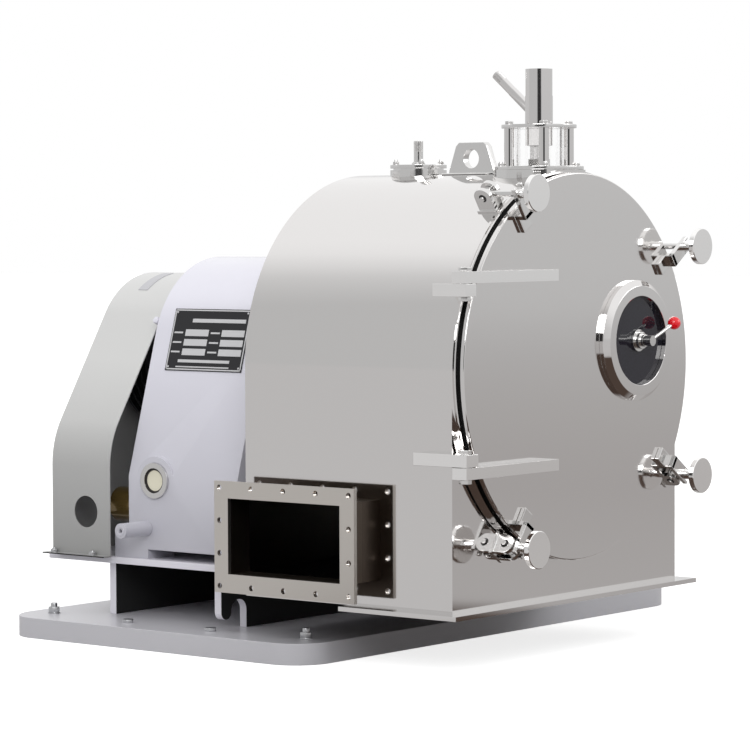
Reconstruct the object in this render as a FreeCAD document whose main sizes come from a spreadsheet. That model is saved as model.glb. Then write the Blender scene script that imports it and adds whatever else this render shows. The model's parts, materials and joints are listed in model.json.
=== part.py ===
import FreeCAD, Part
import math
import os
import re

from FreeCAD import Placement, Rotation, Vector

# Horizontal filtering centrifuge with a side discharge duct and a hinged front door.
# Millimetres. +Z is up and the rotor turns about the +Y axis, with the door facing -Y.
# The origin is on the underside of the base plate, below the rotor axis and the middle
# of the bearing housing.

doc = FreeCAD.newDocument("filtering_centrifuge")
sizes = doc.addObject("Spreadsheet::Sheet", "sizes")
places = doc.addObject("Spreadsheet::Sheet", "places")
known = {}
placed = set()
nodes = []


# Writing and reading the sheets

def bound(text):
    """The same formula with each name pointing at its cell."""
    def cell(match):
        word = match.group(0)
        if word in known:
            sheet = "places" if word in placed else "sizes"
            return f"{sheet}.{word}"
        return word
    return re.sub(r"[a-z][a-z_0-9]*", cell, text)


def place(name, formula, note):
    """Work out a place or a size from the driving dimensions, in the second sheet."""
    row = len(placed) + 1
    places.set(f"A{row}", note)
    places.set(f"B{row}", "=" + bound(formula))
    places.setAlias(f"B{row}", name)
    places.recompute()
    known[name] = float(places.get(name))
    placed.add(name)


def amount(text):
    """The number that a sum of names, numbers and simple products comes to."""
    total = 0.0
    sign = 1.0
    for word in str(text).replace("-", " - ").replace("+", " + ").split():
        if word in ("+", "-"):
            sign = 1.0 if word == "+" else -1.0
            continue
        value = 1.0
        turn = "*"
        for bit in re.split(r"([*/])", word):
            if bit in ("*", "/"):
                turn = bit
                continue
            number = known[bit] if bit in known else float(bit)
            value = value * number if turn == "*" else value / number
        total += sign * value
        sign = 1.0
    return total


# Building pieces from formulas

def bind(thing, **formulas):
    """Tie properties to the sheets; x, y and z are the place."""
    for key, formula in formulas.items():
        path = f".Placement.Base.{key}" if key in "xyz" else key
        thing.setExpression(path, bound(str(formula)))


TURN = {"X": Rotation(Vector(0, 1, 0), 90), "Y": Rotation(Vector(1, 0, 0), -90), "Z": Rotation()}


def block(name, low, span):
    """A box from its low corner and its three lengths."""
    piece = doc.addObject("Part::Box", name)
    bind(piece, Length=span[0], Width=span[1], Height=span[2], x=low[0], y=low[1], z=low[2])
    return piece


def rod(name, along, start, radius, length):
    """A round bar that starts at a point and runs along an axis."""
    piece = doc.addObject("Part::Cylinder", name)
    piece.Placement = Placement(Vector(), TURN[along])
    bind(piece, Radius=radius, Height=length, x=start[0], y=start[1], z=start[2])
    return piece


def nut(name, along, start, across, length):
    """A hexagonal head or nut; across is measured over its flats."""
    piece = doc.addObject("Part::Prism", name)
    piece.Polygon = 6
    piece.Placement = Placement(Vector(), TURN[along])
    bind(piece, Circumradius=f"{across}/1.732", Height=length, x=start[0], y=start[1], z=start[2])
    return piece


def join(name, pieces):
    """Fuse pieces into one."""
    whole = doc.addObject("Part::MultiFuse", name)
    whole.Shapes = pieces
    whole.Refine = True
    return whole


def carve(name, base, tools):
    """Cut tools out of a base piece."""
    result = doc.addObject("Part::Cut", name)
    result.Base = base
    result.Tool = tools[0] if len(tools) == 1 else join(name + "_tools", tools)
    result.Refine = True
    return result


def gather(name, pieces):
    """Keep like pieces that don't touch together in one node."""
    group = doc.addObject("Part::Compound", name)
    group.Links = pieces
    return group


def draw(body, role, corners, arcs=None):
    """A closed sketch on a plane of the body; arcs gives a radius and a centre by edge."""
    plane = [f for f in body.Origin.OriginFeatures if f.Role == role][0]
    sketch = body.newObject("Sketcher::SketchObject", body.Name + "_sketch")
    sketch.AttachmentSupport = [(plane, "")]
    sketch.MapMode = "FlatFace"
    arcs = arcs or {}
    points = [Vector(amount(u), amount(v), 0) for u, v in corners]
    count = len(points)
    for i in range(count):
        first = points[i]
        last = points[(i + 1) % count]
        if i in arcs:
            radius, centre, clockwise = arcs[i]
            middle = Vector(amount(centre[0]), amount(centre[1]), 0)
            a, b = [math.atan2(p.y - middle.y, p.x - middle.x) for p in (first, last)]
            if clockwise:
                a, b = b, a
            circle = Part.Circle(middle, Vector(0, 0, 1), amount(radius))
            sketch.addGeometry(Part.ArcOfCircle(circle, a, b + 2 * math.pi if b < a else b))
        else:
            sketch.addGeometry(Part.LineSegment(first, last))
    from Sketcher import Constraint

    def ends(i):
        return (2, 1) if i in arcs and arcs[i][2] else (1, 2)
    for i in range(count):
        j = (i + 1) % count
        sketch.addConstraint(Constraint("Coincident", i, ends(i)[1], j, ends(j)[0]))
    for i, (u, v) in enumerate(corners):
        start = ends(i)[0]
        for kind, formula in (("DistanceX", u), ("DistanceY", v)):
            at = sketch.addConstraint(Constraint(kind, -1, 1, i, start, amount(formula)))
            sketch.setExpression(f"Constraints[{at}]", bound(str(formula)))
    for i, (radius, centre, clockwise) in arcs.items():
        at = sketch.addConstraint(Constraint("DistanceY", -1, 1, i, 3, amount(centre[1])))
        sketch.setExpression(f"Constraints[{at}]", bound(str(centre[1])))
    return sketch


def pad(name, role, corners, start, length, arcs=None):
    """A flat outline given a thickness, from a place along the plane's normal."""
    body = doc.addObject("PartDesign::Body", name)
    sketch = draw(body, role, corners, arcs)
    solid = body.newObject("PartDesign::Pad", name + "_pad")
    solid.Profile = sketch
    solid.Reversed = role == "XZ_Plane"
    bind(solid, Length=length)
    bind(body, **{{"XZ_Plane": "y", "XY_Plane": "z", "YZ_Plane": "x"}[role]: start})
    return body


def turned(name, corners, centre):
    """A profile of radius and height along Y, turned about its own Y axis."""
    body = doc.addObject("PartDesign::Body", name)
    sketch = draw(body, "XY_Plane", corners)
    solid = body.newObject("PartDesign::Revolution", name + "_turn")
    solid.Profile = sketch
    solid.ReferenceAxis = (sketch, ["V_Axis"])
    solid.Angle = 360
    bind(body, x=centre[0], z=centre[1])
    return body


def node(label, piece):
    """Name a finished piece, so that it is checked and written."""
    piece.Label = label
    nodes.append(piece)
    return piece


def about_rotor(piece, angle):
    """Turn a clamp piece, drawn out along +X from the rotor axis, to its place on the rim."""
    piece.Placement = Placement(Vector(), Rotation(Vector(0, 1, 0), -angle))
    bind(piece, z="axis_height")
    return piece


# Driving dimensions

SIZES = {
    "axis_height": 652,  # rotor axis above the floor
    "base_left": 489,  # base plate, from the rotor axis to its left edge
    "base_right": 995,  # base plate, from the rotor axis to its right edge
    "base_front": 496,  # base plate, from the housing's middle to its front edge
    "base_rear": 432,  # base plate, from the housing's middle to its rear edge
    "base_thickness": 48,  # base plate thickness
    "base_corner": 95,  # base plate corner radius
    "stud_inset_x": 99,  # foundation bolt from the side edge
    "stud_inset_y": 74,  # foundation bolt from the front or rear edge
    "stud_hole_radius": 9,  # foundation bolt hole
    "pedestal_height": 124,  # height of the two pedestal plates
    "pedestal_plate": 20,  # pedestal plate thickness
    "pedestal_half_width": 315,  # half width of the rear pedestal plate and of the front one's foot
    "pedestal_lug_reach": 402,  # half width of the front pedestal plate at its lugs
    "pedestal_notch": 26,  # radius of the notch between lug and foot
    "pedestal_front_place": 182,  # front pedestal plate, ahead of the housing's middle
    "pedestal_rear_place": 226,  # rear pedestal plate, behind the housing's middle
    "tray_thickness": 16,  # tray plate thickness
    "tray_half_width": 340,  # half width of the tray plate
    "tray_front": 196,  # tray plate, ahead of the housing's middle
    "tray_rear": 422,  # tray plate, behind the housing's middle
    "housing_length": 338,  # bearing housing along the rotor
    "housing_half_width": 330,  # half width of the bearing housing's lower block
    "housing_round": 240,  # radius of the bearing housing's round top
    "housing_shoulder": 381,  # height at which the housing's sides lean in
    "housing_pad": 22,  # pads that lift the housing off the tray
    "housing_foot": 30,  # thickness of the housing's rear feet
    "housing_foot_reach": 45,  # reach of the housing's rear feet
    "neck_radius": 150,  # round neck that carries the casing
    "neck_length": 113,  # neck, from the housing to the casing
    "shaft_radius": 45,  # rotor shaft
    "shaft_clearance": 0.3,  # running clearance of the shaft
    "sight_boss": 57,  # radius of the oil sight glass boss
    "sight_radius": 42,  # outer radius of the oil sight glass ring
    "sight_glass_radius": 29,  # radius of the oil sight glass
    "sight_place": 85,  # oil sight glass, behind the housing's middle
    "sight_height": 373,  # oil sight glass above the floor
    "drain_radius": 18,  # oil drain stub
    "drain_length": 90,  # oil drain stub
    "drain_bore": 5,  # hole in the end of the drain stub
    "drain_place": 112,  # oil drain stub, behind the housing's middle
    "drain_height": 260,  # oil drain stub above the floor
    "pump_radius": 42,  # oil pump body
    "pump_length": 66,  # oil pump body
    "pump_offset": 284,  # oil pump, left of the rotor axis
    "pump_height": 308,  # oil pump above the floor
    "plate_width": 237,  # nameplate along the housing
    "plate_height": 150,  # nameplate up the leaning side
    "plate_thickness": 2,  # nameplate thickness
    "plate_place": 2,  # nameplate's middle, ahead of the housing's middle
    "plate_rise": 257,  # nameplate's lower edge, up the leaning side from the shoulder
    "casing_radius": 430,  # outer radius of the casing
    "casing_length": 580,  # casing along the rotor
    "casing_bottom": 139,  # lower edge of the casing above the floor
    "casing_skin": 6,  # casing sheet thickness
    "wall_thickness": 10,  # casing end wall thickness
    "door_opening": 398,  # radius of the door opening
    "chamber_length": 244,  # solids chamber, from the front wall to the partition
    "partition_thickness": 6,  # partition thickness
    "flange_reach": 36,  # outlet flange, beyond the casing
    "flange_rear_reach": 35,  # outlet flange, behind the solids chamber
    "flange_thickness": 10,  # outlet flange thickness
    "duct_reach": 73,  # duct, from the casing to its flange face
    "duct_front": 242,  # duct flange's front edge, behind the door face
    "duct_flange_length": 400,  # duct flange along the rotor
    "duct_flange_height": 249,  # duct flange height
    "duct_flange_bottom": 152,  # duct flange above the floor
    "duct_rim": 40,  # width of the duct flange's face
    "duct_skin": 4,  # duct sheet thickness
    "duct_flange_thickness": 10,  # duct flange thickness
    "duct_hole_radius": 6.5,  # duct flange bolt hole
    "duct_hole_inset": 15,  # duct flange bolt hole from the edge
    "seat_radius": 433,  # outer radius of the door seat ring
    "seat_step": 3,  # step on the seat ring's outside
    "seat_thickness": 12,  # seat ring thickness
    "gasket_thickness": 10,  # door gasket, pressed
    "gasket_outer": 425,  # outer radius of the gasket
    "gasket_inner": 404,  # inner radius of the gasket
    "joint_gap": 0.3,  # gap between faces that part when something opens
    "stud_gap": 0.6,  # end of a clamp stud, behind its knob
    "door_radius": 430,  # door radius
    "door_thickness": 10,  # door plate thickness
    "strap_height": 25,  # door strap, up and down
    "strap_depth": 38,  # door strap, out from the door
    "strap_reach": 21,  # strap end, beyond the hinge pin
    "strap_length": 336,  # door strap, left to right
    "strap_upper": 845,  # underside of the upper strap above the floor
    "strap_lower": 431,  # underside of the lower strap above the floor
    "hinge_offset": 451,  # hinge pin, left of the rotor axis
    "hinge_out": 19,  # hinge pin, ahead of the door face
    "hinge_pin_radius": 8,  # hinge pin
    "hinge_clearance": 0.3,  # hinge pin in the strap
    "hinge_washer": 1,  # gap between strap and casing bar
    "bar_height": 27,  # casing bars, up and down
    "bar_width_upper": 36,  # upper casing bar, left to right
    "bar_rear_upper": 51,  # upper casing bar's rear end, behind the door face
    "bar_rear_lower": 104,  # lower casing bar's rear end, behind the door face
    "clamp_circle": 464,  # radius at which the clamp studs stand
    "clamp_angle_right": 34.6,  # right clamps, above or below the level of the axis
    "clamp_angle_left": 124.4,  # left clamps, from the same level on the right
    "pivot_upper": 62,  # upper clamp pivots, behind the door face
    "pivot_lower": 5,  # lower clamp pivots, behind the door face
    "ear_thickness": 10,  # clevis ear
    "ear_gap": 19,  # gap between clevis ears
    "ear_round": 22,  # round end of a clevis ear
    "ear_pad": 4,  # pad under the clevis ears
    "pivot_radius": 6,  # clamp pivot pin
    "eye_radius": 13,  # eye of a clamp stud
    "eye_clearance": 2,  # clamp stud's eye between the ears
    "stud_radius": 7,  # clamp stud
    "fork_gap": 22,  # gap between the plates of a door lug
    "fork_plate": 6,  # plate of a door lug
    "fork_height": 40,  # door lug, out from the door
    "fork_foot": 365,  # door lug's inner end, from the rotor axis
    "fork_low": 11,  # height of the door lug's foot
    "fork_rise": 394,  # where the door lug rises to its full height
    "fork_end": 482,  # door lug's outer end, from the rotor axis
    "fork_step": 436,  # where the door lug steps out over the rim
    "fork_under": 20,  # underside of the door lug beyond the rim
    "knob_radius": 41,  # clamp knob disc
    "knob_disc": 13,  # clamp knob disc thickness
    "knob_hub_radius": 16,  # clamp knob hub
    "knob_hub": 23,  # clamp knob hub length
    "port_offset": 210.5,  # sight port, right of the rotor axis
    "port_rise": 51.6,  # sight port, above the rotor axis
    "port_radius": 137,  # sight port flange
    "port_clear": 101,  # sight port clear radius
    "port_ring": 22,  # sight port ring thickness
    "port_bevel": 13,  # bevel on the port ring, inwards
    "port_straight": 10,  # straight part of the port ring, out from the door
    "port_seat": 2,  # back of the port glass, ahead of the door face
    "port_glass": 8,  # sight port glass thickness
    "port_rebate": 11,  # rebate that holds the glass
    "wiper_shaft": 6,  # wiper shaft radius
    "wiper_reach": 106,  # wiper lever, from its shaft to the ball
    "wiper_tilt": 20.5,  # wiper lever above the level
    "wiper_out": 45,  # wiper lever, ahead of the door face
    "wiper_rod": 4,  # wiper lever radius
    "wiper_boss": 12,  # wiper boss radius
    "gland_neck": 11,  # gland where it passes through the glass
    "gland_radius": 25,  # gland flange on the glass
    "gland_flange": 6,  # gland flange thickness
    "gland_nut": 19,  # gland nut
    "gland_nut_length": 10,  # gland nut
    "gland_end": 14,  # outer end of the gland
    "gland_end_length": 8,  # outer end of the gland
    "ball_radius": 15,  # ball on the wiper lever
    "blade_length": 86,  # wiper blade
    "blade_height": 12,  # wiper blade
    "blade_thickness": 4,  # wiper blade
    "cover_place": 453,  # inspection cover, behind the door face
    "cover_radius": 65,  # inspection cover
    "cover_thickness": 8,  # inspection cover
    "cover_height": 1105,  # top of the inspection cover above the floor
    "cover_neck": 58,  # inspection neck radius
    "nipple_radius": 10.7,  # threaded nipple
    "nipple_bore": 8,  # bore of the nipple
    "nipple_length": 55,  # threaded nipple
    "lug_place": 294,  # lifting lug, behind the door face
    "lug_foot": 126,  # lifting lug, length at its foot
    "lug_head": 86,  # lifting lug, length at its top
    "lug_top": 1154,  # lifting lug's top above the floor
    "lug_eye": 21.5,  # hole in the lifting lug
    "lug_eye_height": 1117,  # hole in the lifting lug above the floor
    "lug_thickness": 22,  # lifting lug thickness
    "feed_place": 112,  # feed pipe, behind the door face
    "feed_radius": 30.15,  # feed pipe outer radius
    "feed_tee": 31,  # outer radius of the tee below the feed pipe
    "feed_end": 60,  # plain end of the feed pipe, above the tee
    "feed_wall": 3.6,  # feed pipe wall
    "feed_top": 1314,  # feed pipe's top above the floor
    "feed_bottom": 1143,  # feed pipe's lower end above the floor
    "stand_low": 1089,  # underside of the lower feed plate above the floor
    "stand_plate": 8,  # feed plate thickness
    "stand_low_radius": 100,  # lower feed plate
    "stand_top_radius": 84,  # upper feed plate
    "stand_gap": 85,  # between the two feed plates
    "stand_post": 11.5,  # feed stand post radius
    "stand_post_place": 47.5,  # feed stand post from the middle, each way
    "tube_outer": 52.5,  # feed sight tube outer radius
    "tube_wall": 5,  # feed sight tube wall
    "drop_radius": 24,  # drop pipe outer radius
    "drop_wall": 3,  # drop pipe wall
    "drop_bend": 60,  # drop pipe bend
    "branch_radius": 10.7,  # wash branch outer radius
    "branch_root": 11.2,  # wash branch's outer radius at its root
    "branch_end": 60,  # plain end of the wash branch
    "branch_wall": 2.6,  # wash branch wall
    "branch_height": 1233,  # where the wash branch meets the feed pipe
    "branch_length": 126,  # wash branch, from the feed pipe's surface
    "branch_lean": 49,  # wash branch, leaning back from upright
    "basket_mouth": 225,  # basket inner radius at its mouth
    "basket_back": 140,  # basket inner radius at its back
    "basket_wall": 8,  # basket wall
    "basket_start": 268,  # basket's mouth, behind the door face
    "basket_length": 268,  # basket's cone
    "basket_lip": 14,  # basket's lip, beyond its wall
    "basket_hub": 16,  # basket back plate
    "basket_row_count": 12,  # discharge slots round the basket
    "scroll_flight": 54,  # height of the scroll's flight
    "scroll_gap": 5,  # scroll's flight to the basket
    "scroll_wall": 7,  # scroll hub wall
    "scroll_pitch": 58,  # pitch of the scroll
    "flight_thickness": 6,  # scroll flight thickness
    "pulley_radius": 171,  # driven pulley
    "pulley_width": 100,  # pulleys along the rotor
    "pulley_place": 252,  # pulleys' front face, behind the housing's middle
    "pulley_grooves": 4,  # grooves in each pulley
    "groove_pitch": 22,  # between grooves
    "groove_depth": 15,  # groove depth
    "groove_width": 15,  # groove width
    "motor_pulley_radius": 90,  # motor pulley
    "belt_width": 11,  # belt width
    "belt_depth": 14,  # belt depth
    "motor_offset": 640,  # motor axis, right of the rotor axis
    "motor_height": 180,  # motor axis above its feet
    "motor_radius": 158,  # motor body
    "motor_length": 560,  # motor body with its fan cowl
    "motor_rear": 190,  # motor's drive end, behind the housing's middle
    "motor_shaft": 24,  # motor shaft
    "rail_height": 22,  # motor rails
    "rail_width": 60,  # motor rails
    "rail_spread": 260,  # between the motor rails
    "guard_left": 358,  # belt guard's left side, from the rotor axis
    "guard_round": 200,  # belt guard's round top
    "guard_right_round": 122,  # belt guard's round end about the motor pulley
    "guard_bend": 457,  # height at which the guard's left side leans in
    "guard_bend_round": 200,  # radius of that bend
    "guard_front": 204,  # belt guard's open face, behind the housing's middle
    "guard_depth": 187,  # belt guard along the rotor
    "guard_skin": 3,  # belt guard sheet
    "guard_hole": 37.5,  # hole in the belt guard's left side
    "guard_hole_place": 282,  # that hole, behind the housing's middle
    "guard_hole_height": 292,  # that hole above the floor
    "guard_foot": 22,  # belt guard's foot strip
}
for row, (name, value) in enumerate(SIZES.items(), 1):
    sizes.set(f"A{row}", str(value))
    sizes.setAlias(f"A{row}", name)
    known[name] = float(value)
sizes.recompute()

# Places that follow from the driving dimensions

place("tray_bottom", "base_thickness + pedestal_height", "underside of the tray")
place("tray_top", "tray_bottom + tray_thickness", "top of the tray")
place("housing_bottom", "tray_top + housing_pad", "underside of the housing")
place("casing_rear", "-housing_length / 2 - neck_length", "rear face of the casing")
place("casing_front", "casing_rear - casing_length", "front face of the casing's wall")
place("gasket_face", "casing_front - seat_thickness", "gasket on the seat ring")
place("door_back", "gasket_face - gasket_thickness", "back of the door")
place("door_face", "door_back - door_thickness", "front of the door")
place("skin_inner", "casing_radius - casing_skin", "inner radius of the casing")
place("shoulder_drop", "axis_height - housing_shoulder", "shoulder below the axis")
place("shoulder_square", "housing_half_width ^ 2 + shoulder_drop ^ 2", "shoulder to axis, squared")
place("lean_along", "housing_round ^ 2 / shoulder_square", "share along the shoulder's direction")
place("lean_across", "housing_round * sqrt(shoulder_square - housing_round ^ 2) / shoulder_square",
      "share across the shoulder's direction")
place("touch_out", "lean_along * housing_half_width + lean_across * shoulder_drop",
      "where the leaning side meets the round top, out from the axis")
place("touch_up", "axis_height - lean_along * shoulder_drop + lean_across * housing_half_width",
      "the same point above the floor")
place("bend_drop", "axis_height - guard_bend", "guard's bend below the axis")
place("bend_square", "guard_left ^ 2 + bend_drop ^ 2", "guard's bend to axis, squared")
place("bend_along", "guard_round ^ 2 / bend_square", "share along the bend's direction")
place("bend_across", "guard_round * sqrt(bend_square - guard_round ^ 2) / bend_square",
      "share across the bend's direction")
place("guard_touch_out", "bend_along * guard_left + bend_across * bend_drop",
      "where the guard's leaning side meets its round top")
place("guard_touch_up", "axis_height - bend_along * bend_drop + bend_across * guard_left",
      "the same point above the floor")
place("motor_axis", "base_thickness + rail_height + motor_height", "motor axis above the floor")


# Base plate, pedestal and tray

def make_base_plate():
    """One thick plate with round corners and four foundation bolt holes."""
    left, right = "-base_left", "base_right"
    front, rear = "-base_front", "base_rear"
    turn = "base_corner"
    corners = [(f"{left} + {turn}", front), (f"{right} - {turn}", front), (right, f"{front} + {turn}"),
               (right, f"{rear} - {turn}"), (f"{right} - {turn}", rear), (f"{left} + {turn}", rear),
               (left, f"{rear} - {turn}"), (left, f"{front} + {turn}")]
    arcs = {1: (turn, (f"{right} - {turn}", f"{front} + {turn}"), False),
            3: (turn, (f"{right} - {turn}", f"{rear} - {turn}"), False),
            5: (turn, (f"{left} + {turn}", f"{rear} - {turn}"), False),
            7: (turn, (f"{left} + {turn}", f"{front} + {turn}"), False)}
    body = pad("base_plate_solid", "XY_Plane", corners, "0", "base_thickness", arcs)
    holes = []
    for i, x in enumerate(("-base_left + stud_inset_x", "base_right - stud_inset_x")):
        for j, y in enumerate(("-base_front + stud_inset_y", "base_rear - stud_inset_y")):
            holes.append(rod(f"stud_hole_{i}{j}", "Z", (x, y, "-1"), "stud_hole_radius",
                             "base_thickness + 2"))
    node("base_plate", carve("base_plate_cut", body, holes))


def make_pedestal():
    """Two upright plates; the front one has a hooked lug each side of its foot."""
    node("pedestal_rear_plate", block("pedestal_rear", ("-pedestal_half_width", "pedestal_rear_place",
                                                        "base_thickness"),
                                      ("2*pedestal_half_width", "pedestal_plate", "pedestal_height")))
    place("notch_out", "pedestal_half_width + pedestal_notch", "middle of the notch, from the axis")
    place("notch_up", "base_thickness + pedestal_height / 3", "middle of the notch above the floor")
    place("lug_mid", "(notch_out + pedestal_notch + pedestal_lug_reach) / 2", "middle of the lug's end")
    place("lug_round", "(pedestal_lug_reach - notch_out - pedestal_notch) / 2", "round end of the lug")
    low, high = "base_thickness", "tray_bottom"
    corners = [("pedestal_half_width", low), ("pedestal_half_width", "notch_up"),
               ("notch_out + pedestal_notch", "notch_up"), ("pedestal_lug_reach", "notch_up"),
               ("pedestal_lug_reach", high), ("-pedestal_lug_reach", high),
               ("-pedestal_lug_reach", "notch_up"), ("-notch_out - pedestal_notch", "notch_up"),
               ("-pedestal_half_width", "notch_up"), ("-pedestal_half_width", low)]
    arcs = {1: ("pedestal_notch", ("notch_out", "notch_up"), True),
            2: ("lug_round", ("lug_mid", "notch_up"), False),
            6: ("lug_round", ("-lug_mid", "notch_up"), False),
            7: ("pedestal_notch", ("-notch_out", "notch_up"), True)}
    node("pedestal_front_plate", pad("pedestal_front", "XZ_Plane", corners, "-pedestal_front_place",
                                     "pedestal_plate", arcs))
    node("tray_plate", block("tray", ("-tray_half_width", "-tray_front", "tray_bottom"),
                             ("2*tray_half_width", "tray_front + tray_rear", "tray_thickness")))


# Bearing housing and its fittings

def make_housing():
    """A casting on pads, with leaning sides, a round top and a neck that carries the casing."""
    corners = [("housing_half_width", "housing_bottom"), ("housing_half_width", "housing_shoulder"),
               ("touch_out", "touch_up"), ("-touch_out", "touch_up"),
               ("-housing_half_width", "housing_shoulder"), ("-housing_half_width", "housing_bottom")]
    arcs = {2: ("housing_round", ("0", "axis_height"), False)}
    shell = pad("housing_block", "XZ_Plane", corners, "-housing_length/2", "housing_length", arcs)
    boss = rod("sight_boss_round", "X", ("-housing_half_width", "sight_place", "sight_height"),
               "sight_boss", "housing_half_width/2")
    neck = rod("housing_neck", "Y", ("0", "casing_rear", "axis_height"), "neck_radius", "neck_length + 5")
    feet = []
    for i, x in enumerate(("-housing_half_width", "housing_half_width - 90")):
        feet.append(block(f"housing_pad_front_{i}", (x, "-housing_length/2", "tray_top"),
                          ("90", "60", "housing_pad + 1")))
        feet.append(block(f"housing_pad_rear_{i}", (x, "housing_length/2 - 60", "tray_top"),
                          ("90", "60 + housing_foot_reach", "housing_pad + housing_foot")))
    body = join("housing_solid", [shell, boss, neck] + feet)
    bore = rod("housing_bore", "Y", ("0", "casing_rear - 1", "axis_height"),
               "shaft_radius + shaft_clearance", "neck_length + housing_length + 2")
    seat = rod("sight_seat", "X", ("-housing_half_width - 1", "sight_place", "sight_height"),
               "sight_radius", "13")
    node("bearing_housing", carve("housing_cut", body, [bore, seat]))
    ring = rod("sight_ring_outer", "X", ("-housing_half_width - 6", "sight_place", "sight_height"),
               "sight_radius", "18")
    hole = rod("sight_ring_hole", "X", ("-housing_half_width - 7", "sight_place", "sight_height"),
               "sight_glass_radius", "15")
    node("sight_ring", carve("sight_ring_cut", ring, [hole]))
    node("sight_glass", rod("sight_glass_disc", "X", ("-housing_half_width", "sight_place", "sight_height"),
                            "sight_glass_radius", "8"))
    stub = rod("drain_outer", "X", ("-housing_half_width - drain_length", "drain_place", "drain_height"),
               "drain_radius", "drain_length")
    end = rod("drain_hole", "X", ("-housing_half_width - drain_length - 1", "drain_place", "drain_height"),
              "drain_bore", "drain_length/2")
    node("drain_stub", carve("drain_cut", stub, [end]))
    pump = rod("pump_body", "Y", ("-pump_offset", "housing_length/2", "pump_height"), "pump_radius",
               "pump_length")
    cap = rod("pump_cap", "Y", ("-pump_offset", "housing_length/2 + pump_length", "pump_height"),
              "pump_radius/2", "pump_length/8")
    node("oil_pump", join("pump_solid", [pump, cap]))
    lean = math.degrees(math.atan2(known["housing_half_width"] - known["touch_out"],
                                   known["touch_up"] - known["housing_shoulder"]))
    plate = block("nameplate_sheet", ("0", "0", "0"), ("plate_thickness", "plate_width", "plate_height"))
    tilt = math.radians(lean)
    place("plate_out", f"-housing_half_width + plate_rise * {math.sin(tilt):.6f}"
          f" - plate_thickness * {math.cos(tilt):.6f}", "nameplate's lower edge, from the axis")
    place("plate_up", f"housing_shoulder + plate_rise * {math.cos(tilt):.6f}"
          f" + plate_thickness * {math.sin(tilt):.6f}", "nameplate's lower edge above the floor")
    plate.Placement = Placement(Vector(), Rotation(Vector(0, 1, 0), lean))
    bind(plate, x="plate_out", y="-plate_place - plate_width/2", z="plate_up")
    node("nameplate", plate)


# Casing

def inverted_u(name, radius, start, length, foot):
    """A round-topped solid with straight sides down to a foot."""
    return join(name, [rod(name + "_round", "Y", ("0", start, "axis_height"), radius, length),
                       block(name + "_sides", (f"-{radius}", start, foot),
                             (f"2*{radius}", length, f"axis_height - {foot}"))])


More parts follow.
